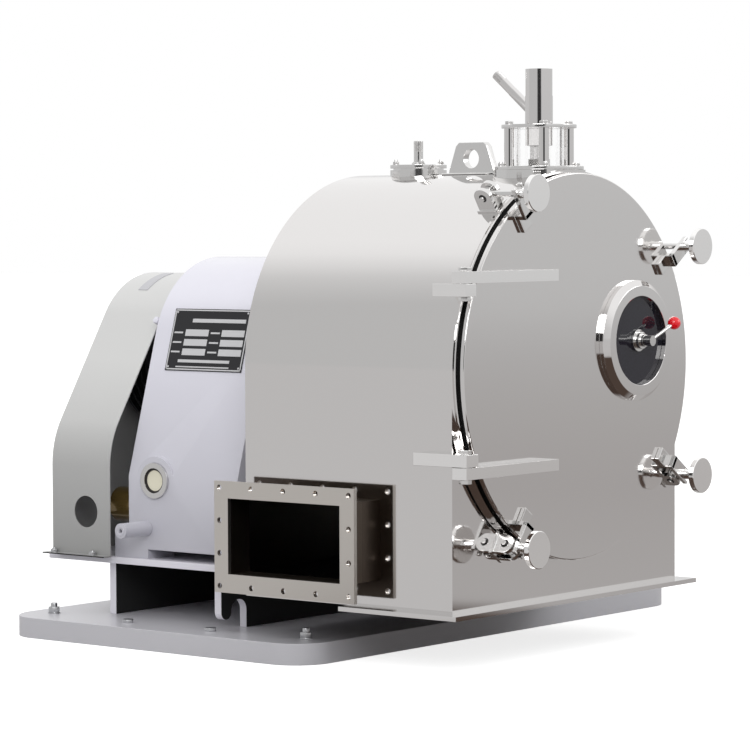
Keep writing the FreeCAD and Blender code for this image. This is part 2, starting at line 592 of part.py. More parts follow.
def make_casing():
    """Welded sheet: a round-topped skin between two walls, with a partition and an outlet flange."""
    place("skin_length", "casing_length - 2 * wall_thickness", "casing between its walls")
    outer = inverted_u("skin_outer", "casing_radius", "casing_front", "casing_length", "casing_bottom")
    inner = inverted_u("skin_hollow", "skin_inner", "casing_front - 1", "casing_length + 2",
                       "casing_bottom - 1")
    place("duct_inner_front", "door_face + duct_front + duct_rim", "duct's clear front")
    place("duct_inner_length", "duct_flange_length - 2 * duct_rim", "duct's clear length")
    place("duct_inner_bottom", "duct_flange_bottom + duct_rim + 2", "duct's clear bottom")
    place("duct_inner_height", "duct_flange_height - 2 * duct_rim", "duct's clear height")
    place("feed_centre", "door_face + feed_place", "feed pipe's middle")
    place("cover_centre", "door_face + cover_place", "inspection cover's middle")
    window = block("duct_window", ("-casing_radius - 5", "duct_inner_front", "duct_inner_bottom"),
                   ("80", "duct_inner_length", "duct_inner_height"))
    feed_hole = rod("feed_hole", "Z", ("0", "feed_centre", "axis_height"), "drop_radius + 4",
                    "casing_radius + 9")
    cover_hole = rod("cover_hole", "Z", ("0", "cover_centre", "axis_height"), "cover_neck - 6",
                     "casing_radius + 9")
    node("casing_shell", carve("skin_cut", outer, [inner, window, feed_hole, cover_hole]))
    sheet = inverted_u("front_wall_sheet", "skin_inner", "casing_front", "wall_thickness", "casing_bottom")
    mouth = rod("door_mouth", "Y", ("0", "casing_front - 1", "axis_height"), "door_opening",
                "wall_thickness + 2")
    node("casing_front_wall", carve("front_wall_cut", sheet, [mouth]))
    sheet = inverted_u("rear_wall_sheet", "skin_inner", "casing_rear - wall_thickness", "wall_thickness",
                       "casing_bottom")
    mouth = rod("shaft_mouth", "Y", ("0", "casing_rear - wall_thickness - 1", "axis_height"),
                "shaft_radius + 20", "wall_thickness + 2")
    node("casing_rear_wall", carve("rear_wall_cut", sheet, [mouth]))
    place("partition_front", "casing_front + chamber_length", "front face of the partition")
    place("basket_outer", "basket_mouth + basket_wall + basket_lip", "outer radius of the basket's lip")
    sheet = inverted_u("partition_sheet", "skin_inner", "partition_front", "partition_thickness",
                       "casing_bottom")
    mouth = rod("basket_mouth_hole", "Y", ("0", "partition_front - 1", "axis_height"), "basket_outer + 6",
                "partition_thickness + 2")
    node("casing_partition", carve("partition_cut", sheet, [mouth]))
    place("floor_front", "partition_front + partition_thickness", "front of the sump floor")
    place("floor_length", "casing_rear - wall_thickness - floor_front", "sump floor")
    node("casing_floor", block("sump_floor", ("-skin_inner", "floor_front", "casing_bottom"),
                               ("2*skin_inner", "floor_length", "casing_skin")))
    place("flange_front", "casing_front - flange_reach", "front edge of the outlet flange")
    place("flange_length", "flange_reach + chamber_length + partition_thickness + flange_rear_reach",
          "outlet flange along the rotor")
    frame = block("outlet_plate", ("-casing_radius - flange_reach", "flange_front",
                                   "casing_bottom - flange_thickness"),
                  ("2*casing_radius + 2*flange_reach", "flange_length", "flange_thickness"))
    mouth = block("outlet_mouth", ("-skin_inner", "casing_front + wall_thickness",
                                   "casing_bottom - flange_thickness - 1"),
                  ("2*skin_inner", "chamber_length - wall_thickness", "flange_thickness + 2"))
    node("casing_outlet_flange", carve("outlet_cut", frame, [mouth]))
    node("door_seat_ring", turned("seat_ring", [
        ("door_opening + 2", "gasket_face"), ("seat_radius", "gasket_face"),
        ("seat_radius", "gasket_face + seat_thickness/2"),
        ("seat_radius + seat_step", "gasket_face + seat_thickness/2"),
        ("seat_radius + seat_step", "casing_front"), ("door_opening + 2", "casing_front")],
        ("0", "axis_height")))
    node("door_gasket", turned("gasket", [
        ("gasket_inner", "door_back + joint_gap"), ("gasket_outer", "door_back + joint_gap"),
        ("gasket_outer", "gasket_face"), ("gasket_inner", "gasket_face")], ("0", "axis_height")))


def make_duct():
    """A short rectangular duct with a bolted flange."""
    place("duct_face", "-casing_radius - duct_reach", "face of the duct flange")
    place("duct_flange_front", "door_face + duct_front", "duct flange's front edge")
    tube = block("duct_tube", ("duct_face + duct_flange_thickness", "duct_inner_front - duct_skin",
                               "duct_inner_bottom - duct_skin"),
                 ("duct_reach - duct_flange_thickness", "duct_inner_length + 2*duct_skin",
                  "duct_inner_height + 2*duct_skin"))
    clear = block("duct_clear", ("duct_face - 1", "duct_inner_front", "duct_inner_bottom"),
                  ("duct_reach + 2", "duct_inner_length", "duct_inner_height"))
    node("duct_body", carve("duct_tube_cut", tube, [clear]))
    plate = block("duct_plate", ("duct_face", "duct_flange_front", "duct_flange_bottom"),
                  ("duct_flange_thickness", "duct_flange_length", "duct_flange_height"))
    clear = block("duct_plate_clear", ("duct_face - 1", "duct_inner_front", "duct_inner_bottom"),
                  ("duct_flange_thickness + 2", "duct_inner_length", "duct_inner_height"))
    tools = [clear]
    place("duct_step_y", "(duct_flange_length - 2 * duct_hole_inset) / 4", "between holes along the duct")
    place("duct_step_z", "(duct_flange_height - 2 * duct_hole_inset) / 3", "between holes up the duct")
    for i in range(5):
        for j in range(4):
            if 0 < i < 4 and 0 < j < 3:
                continue
            tools.append(rod(f"duct_hole_{i}{j}", "X",
                             ("duct_face - 1", f"duct_flange_front + duct_hole_inset + {i}*duct_step_y",
                              f"duct_flange_bottom + duct_hole_inset + {j}*duct_step_z"),
                             "duct_hole_radius", "duct_flange_thickness + 2"))
    node("duct_flange", carve("duct_plate_cut", plate, tools))


# Hinges

def make_hinges():
    """Bars on the casing carry the pins; straps on the door turn on them."""
    place("strap_left", "-hinge_offset - strap_reach", "left end of the straps")
    place("bar_front", "door_face - strap_depth", "front face of straps and bars")
    place("pin_line", "door_face - hinge_out", "hinge pins along the rotor")
    straps = []
    bars = []
    pins = []
    for name, low, above in (("upper", "strap_upper", False), ("lower", "strap_lower", True)):
        strap = block(f"strap_{name}", ("strap_left", "bar_front", low),
                      ("strap_length", "strap_depth", "strap_height"))
        hole = rod(f"strap_hole_{name}", "Z", ("-hinge_offset", "pin_line", f"{low} - 1"),
                   "hinge_pin_radius + hinge_clearance", "strap_height + 2")
        straps.append(carve(f"strap_cut_{name}", strap, [hole]))
        base = f"{low} + strap_height + hinge_washer" if above else f"{low} - bar_height - hinge_washer"
        if above:
            bar = block("bar_lower", ("strap_left", "bar_front", base),
                        ("hinge_offset + strap_reach - casing_radius",
                         "strap_depth + bar_rear_lower", "bar_height"))
        else:
            front = block("bar_upper_front", ("strap_left", "bar_front", base),
                          ("bar_width_upper", "strap_depth + bar_rear_upper", "bar_height"))
            back = block("bar_upper_back", ("strap_left", "casing_front", base),
                         ("hinge_offset/5", "bar_rear_upper + door_face - casing_front", "bar_height"))
            drum = rod("bar_upper_fit", "Y", ("0", "casing_front - 1", "axis_height"), "casing_radius",
                       "300")
            bar = carve("bar_upper", join("bar_upper_join", [front, back]), [drum])
        hole = rod(f"bar_hole_{name}", "Z", ("-hinge_offset", "pin_line", f"{base} - 1"),
                   "hinge_pin_radius + hinge_clearance/3", "bar_height + 2")
        bars.append(carve(f"bar_cut_{name}", bar, [hole]))
        foot = low if above else base
        stem = rod(f"pin_stem_{name}", "Z", ("-hinge_offset", "pin_line", f"{foot} - 8"),
                   "hinge_pin_radius", "strap_height + bar_height + hinge_washer + 16")
        head = nut(f"pin_head_{name}", "Z",
                   ("-hinge_offset", "pin_line", f"{foot} + strap_height + bar_height + 2*hinge_washer"),
                   "24", "8")
        tail = nut(f"pin_nut_{name}", "Z", ("-hinge_offset", "pin_line", f"{foot} - 9 - hinge_washer"),
                   "24", "9")
        pins.append(join(f"pin_{name}", [stem, head, tail]))
    node("door_straps", gather("door_strap_pair", straps))
    node("hinge_bars", gather("hinge_bar_pair", bars))
    node("hinge_pins", gather("hinge_pin_pair", pins))


# Swing-stud clamps

CLAMPS = [("upper_left", "clamp_angle_left", 1, "pivot_upper"),
          ("upper_right", "clamp_angle_right", 1, "pivot_upper"),
          ("lower_right", "clamp_angle_right", -1, "pivot_lower"),
          ("lower_left", "clamp_angle_left", -1, "pivot_lower")]


def make_clamps():
    """Each clamp: a clevis on the casing, a swing stud, a forked lug on the door and a disc knob."""
    place("ear_inner", "ear_gap / 2", "inner face of a clevis ear")
    place("ear_side", "ear_inner + ear_thickness", "outer face of a clevis ear")
    place("fork_side", "fork_gap / 2 + fork_plate", "outer face of a lug plate")
    place("lug_face", "door_face - fork_height", "face that the knob bears on")
    clevises = []
    lugs = []
    knobs = []
    for name, angle_name, sense, pivot in CLAMPS:
        angle = sense * known[angle_name]
        upper = sense > 0
        place(f"pin_y_{name}", f"door_face + {pivot}", "clamp pivot along the rotor")
        pin_y = f"pin_y_{name}"
        ears = []
        for side, z in (("a", "-ear_side"), ("b", "ear_inner")):
            ears.append(rod(f"ear_round_{name}_{side}", "Z", ("clamp_circle", pin_y, z), "ear_round",
                            "ear_thickness"))
            if upper:
                ears.append(block(f"ear_{name}_{side}", ("casing_radius - 5", f"{pin_y} - ear_round", z),
                                  ("clamp_circle - casing_radius + 5", "2*ear_round", "ear_thickness")))
            else:
                ears.append(block(f"ear_{name}_{side}", ("clamp_circle - ear_round", pin_y, z),
                                  ("2*ear_round", f"casing_front - {pin_y}", "ear_thickness")))
        if upper:
            ears.append(block(f"ear_pad_{name}", ("casing_radius - 5", f"{pin_y} - ear_round - 4",
                                                  "-ear_side - 4"),
                              ("ear_pad + 5", "2*ear_round + 8", "2*ear_side + 8")))
        else:
            ears.append(block(f"ear_pad_{name}", ("clamp_circle - ear_round - 4",
                                                  "casing_front - ear_pad", "-ear_side - 4"),
                              ("2*ear_round + 8", "ear_pad", "2*ear_side + 8")))
        ears.append(rod(f"pivot_{name}", "Z", ("clamp_circle", pin_y, "-ear_side - 5"),
                        "pivot_radius - 0.3",
                        "2*ear_side + 10"))
        whole = join(f"clevis_join_{name}", ears)
        drum = rod(f"clevis_fit_{name}", "Y", ("0", "casing_front", "0"), "casing_radius", "200")
        clevis = carve(f"clevis_{name}", whole, [drum]) if upper else whole
        clevises.append(about_rotor(clevis, angle))

        eye = rod(f"eye_{name}", "Z", ("clamp_circle", pin_y, "-ear_inner + eye_clearance/2"), "eye_radius",
                  "ear_gap - eye_clearance")
        stem = rod(f"stem_{name}", "Y", ("clamp_circle", "lug_face + stud_gap", "0"), "stud_radius",
                   f"{pin_y} - lug_face - stud_gap")
        hole = rod(f"eye_hole_{name}", "Z", ("clamp_circle", pin_y, "-ear_inner"), "pivot_radius",
                   "ear_gap")
        stud = carve(f"stud_{name}", join(f"stud_join_{name}", [eye, stem]), [hole])
        node(f"clamp_stud_{name}", about_rotor(stud, angle))

        plates = []
        for side, z in (("a", "-fork_side"), ("b", "fork_gap/2")):
            plates.append(block(f"fork_foot_{name}_{side}", ("fork_foot", "door_face - fork_low", z),
                                ("fork_rise - fork_foot + 1", "fork_low", "fork_plate")))
            plates.append(block(f"fork_riser_{name}_{side}", ("fork_rise", "lug_face", z),
                                ("door_radius - fork_rise - 4", "fork_height", "fork_plate")))
            plates.append(block(f"fork_arm_{name}_{side}", ("fork_rise", "lug_face", z),
                                ("fork_end - fork_rise", "fork_height - fork_under", "fork_plate")))
        plates.append(block(f"fork_web_{name}", ("fork_rise + 6", "lug_face", "-fork_side"),
                            ("fork_step - fork_rise - 6", "8", "2*fork_side")))
        plates.append(block(f"fork_face_{name}_a", ("fork_step - 1", "lug_face", "-fork_side"),
                            ("fork_end - fork_step + 1", "6", "fork_side - stud_radius - 1.5")))
        plates.append(block(f"fork_face_{name}_b", ("fork_step - 1", "lug_face", "stud_radius + 1.5"),
                            ("fork_end - fork_step + 1", "6", "fork_side - stud_radius - 1.5")))
        lugs.append(about_rotor(join(f"lug_{name}", plates), angle))

        hub = rod(f"knob_hub_{name}", "Y", ("clamp_circle", "lug_face - knob_hub", "0"), "knob_hub_radius",
                  "knob_hub")
        disc = rod(f"knob_disc_{name}", "Y", ("clamp_circle", "lug_face - knob_hub - knob_disc", "0"),
                   "knob_radius", "knob_disc")
        knobs.append(about_rotor(join(f"knob_{name}", [hub, disc]), angle))
    node("clamp_clevises", gather("clevis_set", clevises))
    node("clamp_lugs", gather("lug_set", lugs))
    node("clamp_knobs", gather("knob_set", knobs))


# Door, sight port and wiper

def make_door():
    """A polished disc with a glazed port, and a wiper in a gland, worked by a lever in front."""
    place("port_up", "axis_height + port_rise", "sight port above the floor")
    place("glass_back", "door_face - port_seat", "back of the port glass")
    place("glass_front", "glass_back - port_glass", "front of the port glass")
    place("ring_front", "door_face - port_ring", "front of the port ring")
    disc = turned("door_disc", [("0", "door_face"), ("door_radius - 2", "door_face"),
                                ("door_radius", "door_face + 2"), ("door_radius", "door_back"),
                                ("0", "door_back")], ("0", "axis_height"))
    hole = rod("port_hole", "Y", ("port_offset", "door_face - 1", "port_up"), "port_clear",
               "door_thickness + 2")
    node("door_panel", carve("door_cut", disc, [hole]))
    node("port_ring", turned("port_ring_solid", [
        ("port_clear", "door_face"), ("port_radius", "door_face"),
        ("port_radius", "door_face - port_straight"), ("port_radius - port_bevel", "ring_front"),
        ("port_clear", "ring_front"), ("port_clear", "glass_front"),
        ("port_clear + port_rebate", "glass_front"), ("port_clear + port_rebate", "glass_back"),
        ("port_clear", "glass_back")], ("port_offset", "port_up")))
    node("port_glass", turned("port_glass_disc", [
        ("gland_neck", "glass_back"), ("port_clear + port_rebate", "glass_back"),
        ("port_clear + port_rebate", "glass_front"), ("gland_neck", "glass_front")],
        ("port_offset", "port_up")))
    place("gland_step", "glass_front - gland_flange", "front of the gland's flange")
    place("gland_nut_front", "gland_step - gland_nut_length", "front of the gland's nut")
    place("gland_front", "gland_nut_front - gland_end_length", "front of the gland")
    node("wiper_gland", turned("wiper_gland_solid", [
        ("wiper_shaft + joint_gap", "glass_back"), ("gland_neck", "glass_back"),
        ("gland_neck", "glass_front"), ("gland_radius", "glass_front"),
        ("gland_radius", "gland_step"), ("gland_nut", "gland_step"),
        ("gland_nut", "gland_nut_front"), ("gland_end", "gland_nut_front"),
        ("gland_end", "gland_front"), ("wiper_shaft + joint_gap", "gland_front")],
        ("port_offset", "port_up")))
    place("blade_back", "glass_back + 1", "wiper blade's face near the glass")
    shaft = rod("wiper_spindle", "Y", ("0", "door_face - wiper_out - 8", "0"), "wiper_shaft",
                "wiper_out + 8 - door_face + blade_back + blade_thickness")
    boss = rod("wiper_boss_round", "Y", ("0", "door_face - wiper_out - 8", "0"), "wiper_boss", "18")
    lever = rod("wiper_rod_round", "X", ("0", "door_face - wiper_out", "0"), "wiper_rod",
                "wiper_reach - ball_radius + 2")
    blade = block("wiper_blade_bar", ("-12", "blade_back", "-blade_height/2"),
                  ("blade_length + 12", "blade_thickness", "blade_height"))
    ball = doc.addObject("Part::Sphere", "wiper_ball_round")
    bind(ball, Radius="ball_radius", x="wiper_reach", y="door_face - wiper_out", z="0")
    rod_cut = rod("wiper_rod_cut", "X", ("0", "door_face - wiper_out", "0"), "wiper_rod",
                  "wiper_reach - ball_radius + 2")
    for label, piece in (("wiper_lever", join("wiper_solid", [shaft, boss, lever, blade])),
                         ("wiper_ball", carve("wiper_ball_cut", ball, [rod_cut]))):
        piece.Placement = Placement(Vector(), Rotation(Vector(0, 1, 0), -known["wiper_tilt"]))
        bind(piece, x="port_offset", z="port_up")
        node(label, piece)


# Fittings on top of the casing

def fitted(name, piece):
    """Trim a fitting's foot to the round casing that it stands on."""
    drum = rod(name + "_fit", "Y", ("0", "casing_front - 60", "axis_height"), "casing_radius",
               "casing_length + 60")
    return carve(name, piece, [drum])


def make_top_fittings():
    """Inspection cover with its nipple, lifting lug, feed stand and pipes."""
    place("crown", "axis_height + casing_radius", "top of the casing")
    place("cover_under", "cover_height - cover_thickness", "underside of the inspection cover")
    neck = rod("inspection_pipe", "Z", ("0", "cover_centre", "crown - 30"), "cover_neck",
               "cover_under - crown + 30")
    collar = rod("inspection_collar", "Z", ("0", "cover_centre", "crown - 12"), "cover_radius",
                 "cover_under - crown + 8")
    clear = rod("inspection_clear", "Z", ("0", "cover_centre", "crown - 40"), "cover_neck - 6", "90")
    node("inspection_neck", carve("inspection_neck_cut",
                                  fitted("inspection_fit", join("inspection_join", [neck, collar])), [clear]))
    lid = rod("inspection_lid", "Z", ("0", "cover_centre", "cover_under"), "cover_radius",
              "cover_thickness")
    stub = rod("nipple_pipe", "Z", ("0", "cover_centre", "cover_height - 1"), "nipple_radius",
               "nipple_length + 1")
    collar = nut("nipple_nut", "Z", ("0", "cover_centre", "cover_height - 1"), "27", "6")
    clear = rod("nipple_clear", "Z", ("0", "cover_centre", "cover_under - 1"), "nipple_bore",
                "nipple_length + cover_thickness + 3")
    node("inspection_cover", carve("inspection_cover_cut", join("inspection_lid_join", [lid, stub, collar]),
                                   [clear]))

    place("lug_centre", "door_face + lug_place", "lifting lug's middle")
    corners = [("lug_centre - lug_foot/2", "crown - 20"), ("lug_centre + lug_foot/2", "crown - 20"),
               ("lug_centre + lug_foot/2", "crown + 6"), ("lug_centre + lug_head/2", "lug_top - 8"),
               ("lug_centre + lug_head/2 - 8", "lug_top"), ("lug_centre - lug_head/2 + 8", "lug_top"),
               ("lug_centre - lug_head/2", "lug_top - 8"), ("lug_centre - lug_foot/2", "crown + 6")]
    sheet = pad("lug_sheet", "YZ_Plane", corners, "-lug_thickness/2", "lug_thickness")
    foot = block("lug_pad", ("-lug_thickness - 18", "lug_centre - lug_foot/2", "crown - 20"),
                 ("2*lug_thickness + 36", "lug_foot", "22"))
    eye = rod("lug_hole", "X", ("-lug_thickness", "lug_centre", "lug_eye_height"), "lug_eye",
              "2*lug_thickness")
    node("lifting_lug", carve("lug_cut", fitted("lug_fit", join("lug_join", [sheet, foot])), [eye]))

    saddle = rod("saddle_round", "Z", ("0", "feed_centre", "crown - 40"), "stand_low_radius + 4",
                 "stand_low - crown + 40")
    clear = rod("saddle_clear", "Z", ("0", "feed_centre", "crown - 60"), "drop_radius + 4", "120")
    ahead = block("saddle_front_trim", ("-200", "casing_front - 150", "crown - 60"), ("400", "150", "200"))
    node("feed_saddle", carve("saddle_cut", fitted("saddle_fit", saddle), [clear, ahead]))
    place("stand_mid", "stand_low + stand_plate", "top of the lower feed plate")
    place("stand_top", "stand_mid + stand_gap", "underside of the upper feed plate")
    disc = rod("stand_low_disc", "Z", ("0", "feed_centre", "stand_low"), "stand_low_radius", "stand_plate")
    clear = rod("stand_low_clear", "Z", ("0", "feed_centre", "stand_low - 1"), "drop_radius + 0.1",
                "stand_plate + 2")
    node("feed_lower_plate", carve("stand_low_cut", disc, [clear]))
    disc = rod("stand_top_disc", "Z", ("0", "feed_centre", "stand_top"), "stand_top_radius", "stand_plate")
    clear = rod("stand_top_clear", "Z", ("0", "feed_centre", "stand_top - 1"), "feed_tee + 0.1",
                "stand_plate + 2")
    node("feed_top_plate", carve("stand_top_cut", disc, [clear]))
    posts = []
    for i, x in enumerate(("-stand_post_place", "stand_post_place")):
        for j, y in enumerate(("feed_centre - stand_post_place", "feed_centre + stand_post_place")):
            posts.append(rod(f"post_{i}{j}", "Z", (x, y, "stand_mid"), "stand_post", "stand_gap"))
    node("feed_posts", gather("post_set", posts))
    tube = rod("sight_tube", "Z", ("0", "feed_centre", "stand_mid"), "tube_outer", "stand_gap")
    clear = rod("sight_tube_clear", "Z", ("0", "feed_centre", "stand_mid - 1"), "tube_outer - tube_wall",
                "stand_gap + 2")
    node("feed_sight_tube", carve("sight_tube_cut", tube, [clear]))

    tee = rod("feed_tee_tube", "Z", ("0", "feed_centre", "feed_bottom"), "feed_tee",
              "feed_top - feed_end - feed_bottom")
    pipe = rod("feed_tube", "Z", ("0", "feed_centre", "feed_bottom"), "feed_radius",
               "feed_top - feed_bottom")
    bore = rod("feed_bore", "Z", ("0", "feed_centre", "feed_bottom - 1"), "feed_radius - feed_wall",
               "feed_top - feed_bottom + 2")
    branch = rod("branch_tube", "Z", ("0", "0", "0"), "branch_radius", "branch_length + feed_radius")
    root = rod("branch_root_tube", "Z", ("0", "0", "0"), "branch_root",
               "branch_length + feed_radius - branch_end")
    branch_bore = rod("branch_bore", "Z", ("0", "0", "0"), "branch_radius - branch_wall",
                      "branch_length + feed_radius + 2")
    lean = Rotation(Vector(1, 0, 0), -known["branch_lean"])
    place("branch_foot", "branch_height - feed_radius", "where the branch's axis meets the feed pipe's")
    for piece in (branch, root, branch_bore):
        piece.Placement = Placement(Vector(), lean)
        bind(piece, y="feed_centre", z="branch_foot")
    node("feed_pipe", carve("feed_cut", join("feed_join", [tee, pipe, branch, root]), [bore, branch_bore]))
    make_drop_pipe()


def make_drop_pipe():
    """The feed runs down behind the door and turns into the mouth of the scroll."""
    top = known["feed_bottom"] - 30
    bend = known["drop_bend"]
    centre = known["feed_centre"]
    axis = known["axis_height"]
    end = known["door_face"] + known["basket_start"] + 30
    down = Part.LineSegment(Vector(0, centre, top), Vector(0, centre, axis + bend))
    middle = Vector(0, centre + bend * (1 - math.sqrt(0.5)), axis + bend * (1 - math.sqrt(0.5)))
    turn = Part.Arc(Vector(0, centre, axis + bend), middle, Vector(0, centre + bend, axis))
    along = Part.LineSegment(Vector(0, centre + bend, axis), Vector(0, end, axis))
    path = Part.Wire([down.toShape(), turn.toShape(), along.toShape()])
    solids = []
    for radius in (known["drop_radius"], known["drop_radius"] - known["drop_wall"]):
        ring = Part.Wire([Part.makeCircle(radius, Vector(0, centre, top), Vector(0, 0, 1))])
        solids.append(path.makePipeShell([ring], True, False))
    piece = doc.addObject("Part::Feature", "drop_pipe")
    piece.Shape = solids[0].cut(solids[1])
    node("feed_drop_pipe", piece)


# Rotor

def make_rotor():
    """Shaft, conical basket and scroll, with the driven pulley at the rear."""
    place("basket_front", "door_face + basket_start", "basket's mouth")
    place("basket_rear", "basket_front + basket_length", "back of the basket's cone")
    place("shaft_end", "pulley_place + pulley_width + 12", "rear end of the shaft")
    node("rotor_shaft", rod("shaft_round", "Y", ("0", "basket_rear + basket_hub", "axis_height"),
                            "shaft_radius",
                            "shaft_end - basket_rear - basket_hub"))
    cone = turned("basket_cone", [
        ("basket_mouth", "basket_front"), ("basket_outer", "basket_front"),
        ("basket_outer", "basket_front + 12"), ("basket_mouth + basket_wall", "basket_front + 12"),
        ("basket_back + basket_wall", "basket_rear"), ("basket_back + basket_wall",
                                                       "basket_rear + basket_hub"),
        ("0", "basket_rear + basket_hub"), ("0", "basket_rear"), ("basket_back", "basket_rear")],
        ("0", "axis_height"))
    slots = []
    count = int(known["basket_row_count"])
    for i in range(count):
        slot = block(f"basket_slot_{i}", ("basket_back - 20", "basket_front + basket_length/3", "-6"),
                     ("basket_mouth - basket_back + 60", "basket_length/3", "12"))
        angle = math.radians(360.0 * i / count)
        out = f"(basket_back - 20) * {math.cos(angle):.6f} + 6 * {math.sin(angle):.6f}"
        up = f"axis_height + (basket_back - 20) * {math.sin(angle):.6f} - 6 * {math.cos(angle):.6f}"
        slot.Placement = Placement(Vector(), Rotation(Vector(0, 1, 0), -math.degrees(angle)))
        bind(slot, x=out, z=up)
        slots.append(slot)
    node("basket", carve("basket_cut", cone, slots))
    make_scroll()
    make_pulleys()


def make_scroll():
    """A hollow cone with one helical flight that follows the basket."""
    front = known["basket_front"] + 14
    rear = known["basket_rear"] - known["joint_gap"]
    slope = (known["basket_mouth"] - known["basket_back"]) / known["basket_length"]
    drop = known["scroll_flight"] + known["scroll_gap"]
    inner_at = known["basket_mouth"] - slope * (front - known["basket_front"]) - drop
    inner_end = inner_at - slope * (rear - front)
    wall = known["scroll_wall"]
    axis = known["axis_height"]
    hub = Part.makeCone(inner_at, inner_end, rear - front, Vector(0, front, axis), Vector(0, 1, 0))
    length = rear - front - wall
    hollow = Part.makeCone(inner_at - wall, inner_at - wall - slope * length, length,
                           Vector(0, front, axis), Vector(0, 1, 0))
    thick = known["flight_thickness"]
    tall = known["scroll_flight"] + wall / 2
    lean = math.atan(slope)
    run = rear - front - 3 * thick
    root = inner_end + slope * thick - wall / 2
    helix = Part.makeHelix(known["scroll_pitch"], run / math.cos(lean), root, math.degrees(lean))
    profile = Part.makePolygon([Vector(root, 0, 0), Vector(root + tall, 0, 0), Vector(root + tall, 0,
                                                                                      thick),
                                Vector(root, 0, thick), Vector(root, 0, 0)])
    sweep = Part.BRepOffsetAPI.MakePipeShell(Part.Wire(helix))
    sweep.setBiNormalMode(Vector(0, 0, 1))
    sweep.add(profile)
    sweep.build()
    sweep.makeSolid()
    flight = sweep.shape()
    flight.Placement = Placement(Vector(0, rear - thick, axis), Rotation(Vector(1, 0, 0), 90))
    piece = doc.addObject("Part::Feature", "scroll_solid")
    piece.Shape = hub.fuse(flight).cut(hollow).removeSplitter()
    node("scroll", piece)


def pulley(name, radius, hub, bore, centre):
    """A grooved rim on a web and a hub."""
    count = int(known["pulley_grooves"])
    first = amount("pulley_place") + (known["pulley_width"] - (count - 1) * known["groove_pitch"]) / 2
    corners = [(bore, "pulley_place"), (hub, "pulley_place"), (hub, "pulley_place + 38"),
               (f"{radius} - 26", "pulley_place + 38"), (f"{radius} - 26", "pulley_place"),
               (radius, "pulley_place")]
    for i in range(count):
        middle = f"pulley_place + pulley_width/2 + {i - (count - 1) / 2}*groove_pitch"
        corners += [(radius, f"{middle} - groove_width/2"),
                    (f"{radius} - groove_depth", f"{middle} - groove_width/2.4"),
                    (f"{radius} - groove_depth", f"{middle} + groove_width/2.4"),
                    (radius, f"{middle} + groove_width/2")]
    corners += [(radius, "pulley_place + pulley_width"), (f"{radius} - 26", "pulley_place + pulley_width"),
                (f"{radius} - 26", "pulley_place + 62"), (hub, "pulley_place + 62"),
                (hub, "pulley_place + pulley_width"), (bore, "pulley_place + pulley_width")]
    return turned(name, corners, centre)


def make_pulleys():
    """Driven pulley on the rotor, and four belts in its grooves down to the motor's."""
    node("driven_pulley", pulley("driven_pulley_solid", "pulley_radius", "shaft_radius + 25",
                                 "shaft_radius",
                                 ("0", "axis_height")))
    wheel = pulley("motor_pulley_rim", "motor_pulley_radius", "motor_shaft + 20", "motor_shaft",
                   ("motor_offset", "motor_axis"))
    shaft = rod("motor_shaft_round", "Y", ("motor_offset", "motor_rear + 0.3", "motor_axis"), "motor_shaft",
                "pulley_place + pulley_width - motor_rear + 4")
    node("motor_pulley", join("motor_pulley_solid", [wheel, shaft]))
    big = Vector(0, 0, known["axis_height"])
    small = Vector(known["motor_offset"], 0, known["motor_axis"])
    loops = []
    count = int(known["pulley_grooves"])
    for i in range(count):
        middle = (known["pulley_place"] + known["pulley_width"] / 2
                  + (i - (count - 1) / 2) * known["groove_pitch"])
        start = middle - known["belt_width"] / 2
        faces = []
        seat = known["groove_depth"] - known["joint_gap"]
        for inset in (seat - known["belt_depth"], seat):
            faces.append(loop_face(big, known["pulley_radius"] - inset, small,
                                   known["motor_pulley_radius"] - inset, start))
        loops.append(faces[0].cut(faces[1]).extrude(Vector(0, known["belt_width"], 0)))
    piece = doc.addObject("Part::Feature", "belt_loops")
    piece.Shape = Part.makeCompound(loops)
    node("drive_belts", piece)


def loop_face(big, big_radius, small, small_radius, y):
    """The face inside a loop drawn tight round two circles, in a plane across the rotor."""
    along = Vector(small.x - big.x, 0, small.z - big.z)
    reach = along.Length
    heading = math.atan2(along.z, along.x)
    swing = math.acos((big_radius - small_radius) / reach)

    def at(centre, radius, angle):
        return Vector(centre.x + radius * math.cos(angle), y, centre.z + radius * math.sin(angle))
    a, b = heading + swing, heading - swing
    edges = [Part.LineSegment(at(big, big_radius, b), at(small, small_radius, b)).toShape(),
             Part.Arc(at(small, small_radius, b), at(small, small_radius, heading),
                      at(small, small_radius, a)).toShape(),
             Part.LineSegment(at(small, small_radius, a), at(big, big_radius, a)).toShape(),
             Part.Arc(at(big, big_radius, a), at(big, big_radius, heading + math.pi),
                      at(big, big_radius, b)).toShape()]
    return Part.Face(Part.Wire(edges))


# Motor and belt guard

